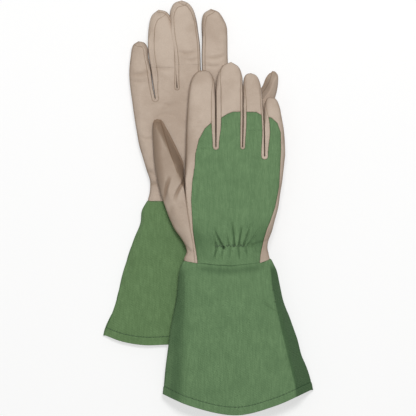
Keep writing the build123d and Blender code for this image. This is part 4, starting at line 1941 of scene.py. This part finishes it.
# --- Staging ---------------------------------------------------------------------------------
@dataclass(frozen=True)
class Lamp:
    """A square soft lamp aimed at the middle of the gloves, in metres and watts."""

    name: str
    place: tuple
    size: float
    power: float

    def build(self) -> None:
        """Hangs the lamp, its axis turned to run through the origin."""
        data = bpy.data.lights.new(self.name, "AREA")
        data.shape = "SQUARE"
        data.size = self.size
        data.energy = self.power
        lamp = bpy.data.objects.new(self.name, data)
        lamp.location = self.place
        bpy.context.scene.collection.objects.link(lamp)
        aim = -np.array(self.place)
        lamp.rotation_euler = (
            math.acos(aim[2] / np.linalg.norm(aim)) - math.pi, 0,
            math.atan2(aim[0], -aim[1]) + math.pi)


@dataclass(frozen=True)
class Studio:
    """A pale floor, soft even light and the camera straight above, in metres."""

    floor_size: float = 6.0
    floor_level: float = -0.0004
    floor_glow: float = 0.6     # how much of the floor is seen as plain white
    surround: float = 0.34      # strength of the light from all round
    lamps: tuple = (Lamp("key", (0.15, 0.6, 2.1), 0.6, 35.0),
                    Lamp("fill", (-0.9, -0.3, 2.2), 1.6, 4.0))
    view_width: float = 0.4368
    view_height: float = 1.2

    def floor(self) -> None:
        """A flat floor that looks white to the camera and keeps the gloves' soft shadow."""
        bpy.ops.mesh.primitive_plane_add(size=self.floor_size, location=(0, 0, self.floor_level))
        floor = bpy.context.object
        floor.name = "floor"
        material = bpy.data.materials.new("pale_floor")
        material.use_nodes = True
        desk = NodeDesk(material.node_tree)
        shader = material.node_tree.nodes["Principled BSDF"]
        at = desk.add("ShaderNodeTexCoord").outputs["Object"]
        tone = desk.blend(desk.noise(at, 2.0), linear(250, 250, 249), linear(253, 253, 252))
        material.node_tree.links.new(tone, shader.inputs["Base Color"])
        shader.inputs["Roughness"].default_value = 0.9
        rays = desk.add("ShaderNodeLightPath")
        glow = desk.add("ShaderNodeEmission", Color=(1, 1, 1, 1), Strength=1.0)
        seen = desk.math("MAXIMUM", rays.outputs["Is Camera Ray"], rays.outputs["Is Glossy Ray"])
        mixed = desk.add("ShaderNodeMixShader", i0=desk.math("MULTIPLY", seen, self.floor_glow),
                         i1=shader.outputs[0], i2=glow.outputs[0])
        output = material.node_tree.nodes["Material Output"]
        material.node_tree.links.new(mixed.outputs[0], output.inputs["Surface"])
        floor.data.materials.append(material)

    def world(self) -> None:
        """A white surround, seen as white and lighting at a lower strength."""
        world = bpy.data.worlds.new("surround")
        bpy.context.scene.world = world
        world.use_nodes = True
        world.node_tree.nodes.clear()
        desk = NodeDesk(world.node_tree)
        rays = desk.add("ShaderNodeLightPath")
        seen = desk.math("MAXIMUM", rays.outputs["Is Camera Ray"], rays.outputs["Is Glossy Ray"])
        seen = desk.math("MAXIMUM", seen, rays.outputs["Is Transmission Ray"])
        strength = desk.span(seen, 0.0, 1.0, self.surround, 1.0)
        light = desk.add("ShaderNodeBackground", Color=(1, 1, 1, 1), Strength=strength)
        desk.add("ShaderNodeOutputWorld", Surface=light.outputs[0])

    def camera(self) -> None:
        """A flat view from straight above, the width of the pair and its margins."""
        data = bpy.data.cameras.new("camera")
        data.type = "ORTHO"
        data.ortho_scale = self.view_width
        camera = bpy.data.objects.new("camera", data)
        camera.location = (0, 0, self.view_height)
        bpy.context.scene.collection.objects.link(camera)
        bpy.context.scene.camera = camera

    def build(self) -> None:
        """Sets the stage."""
        self.floor()
        self.world()
        for lamp in self.lamps:
            lamp.build()
        self.camera()
        bpy.context.scene.view_settings.view_transform = "Standard"
        LOG.info("stage built")


def main() -> None:
    """Builds both gloves in order, then the stage."""
    logging.basicConfig(level=logging.INFO, format="%(name)s: %(message)s")
    groups = {"grain": grain_group(), "weave": weave_group(), "shade_and_seams": shade_and_seam_group()}
    leather = Leather("goatskin").build(groups)
    finishes = {
        "lower": Twill("lower_twill", main=linear(112, 141, 97), shade=linear(90, 117, 77)),
        "upper": Twill("upper_twill"),
    }
    thread = Thread("green_thread", linear(86, 112, 78), linear(48, 68, 46)).build(groups)
    tape = Thread("elastic_tape", linear(222, 218, 208), linear(196, 192, 182)).build(groups)
    joints = {joint["name"]: joint for joint in frame["joints"]}
    wrist = joints["upper_cuff_fold"]["pos_m"]  # at the back skin, in the middle of the wrist
    aside, beyond = 37.8 * MM, 63.0 * MM        # how far the glove behind lies from the front one
    upper_origin = (wrist[0] + 0.5 * MM, wrist[1], wrist[2] - DEPTH * MM)
    lower_origin = (upper_origin[0] - aside, upper_origin[1] + beyond, 0.0)
    for plan, origin in ((LOWER, lower_origin), (UPPER, upper_origin)):
        placer = Placer(origin, plan.turned)
        room = Workroom(plan, placer, leather, finishes[plan.prefix].build(groups), tape, thread)
        hand = Hand(room)
        hand.build()
        Thumb(room).build()
        cuff = Cuff(room, hand)
        cuff.build()
        Elastic().build(room)
        Sewing(room, cuff).build()
    Studio().build()
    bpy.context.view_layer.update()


if __name__ == "__main__":
    main()
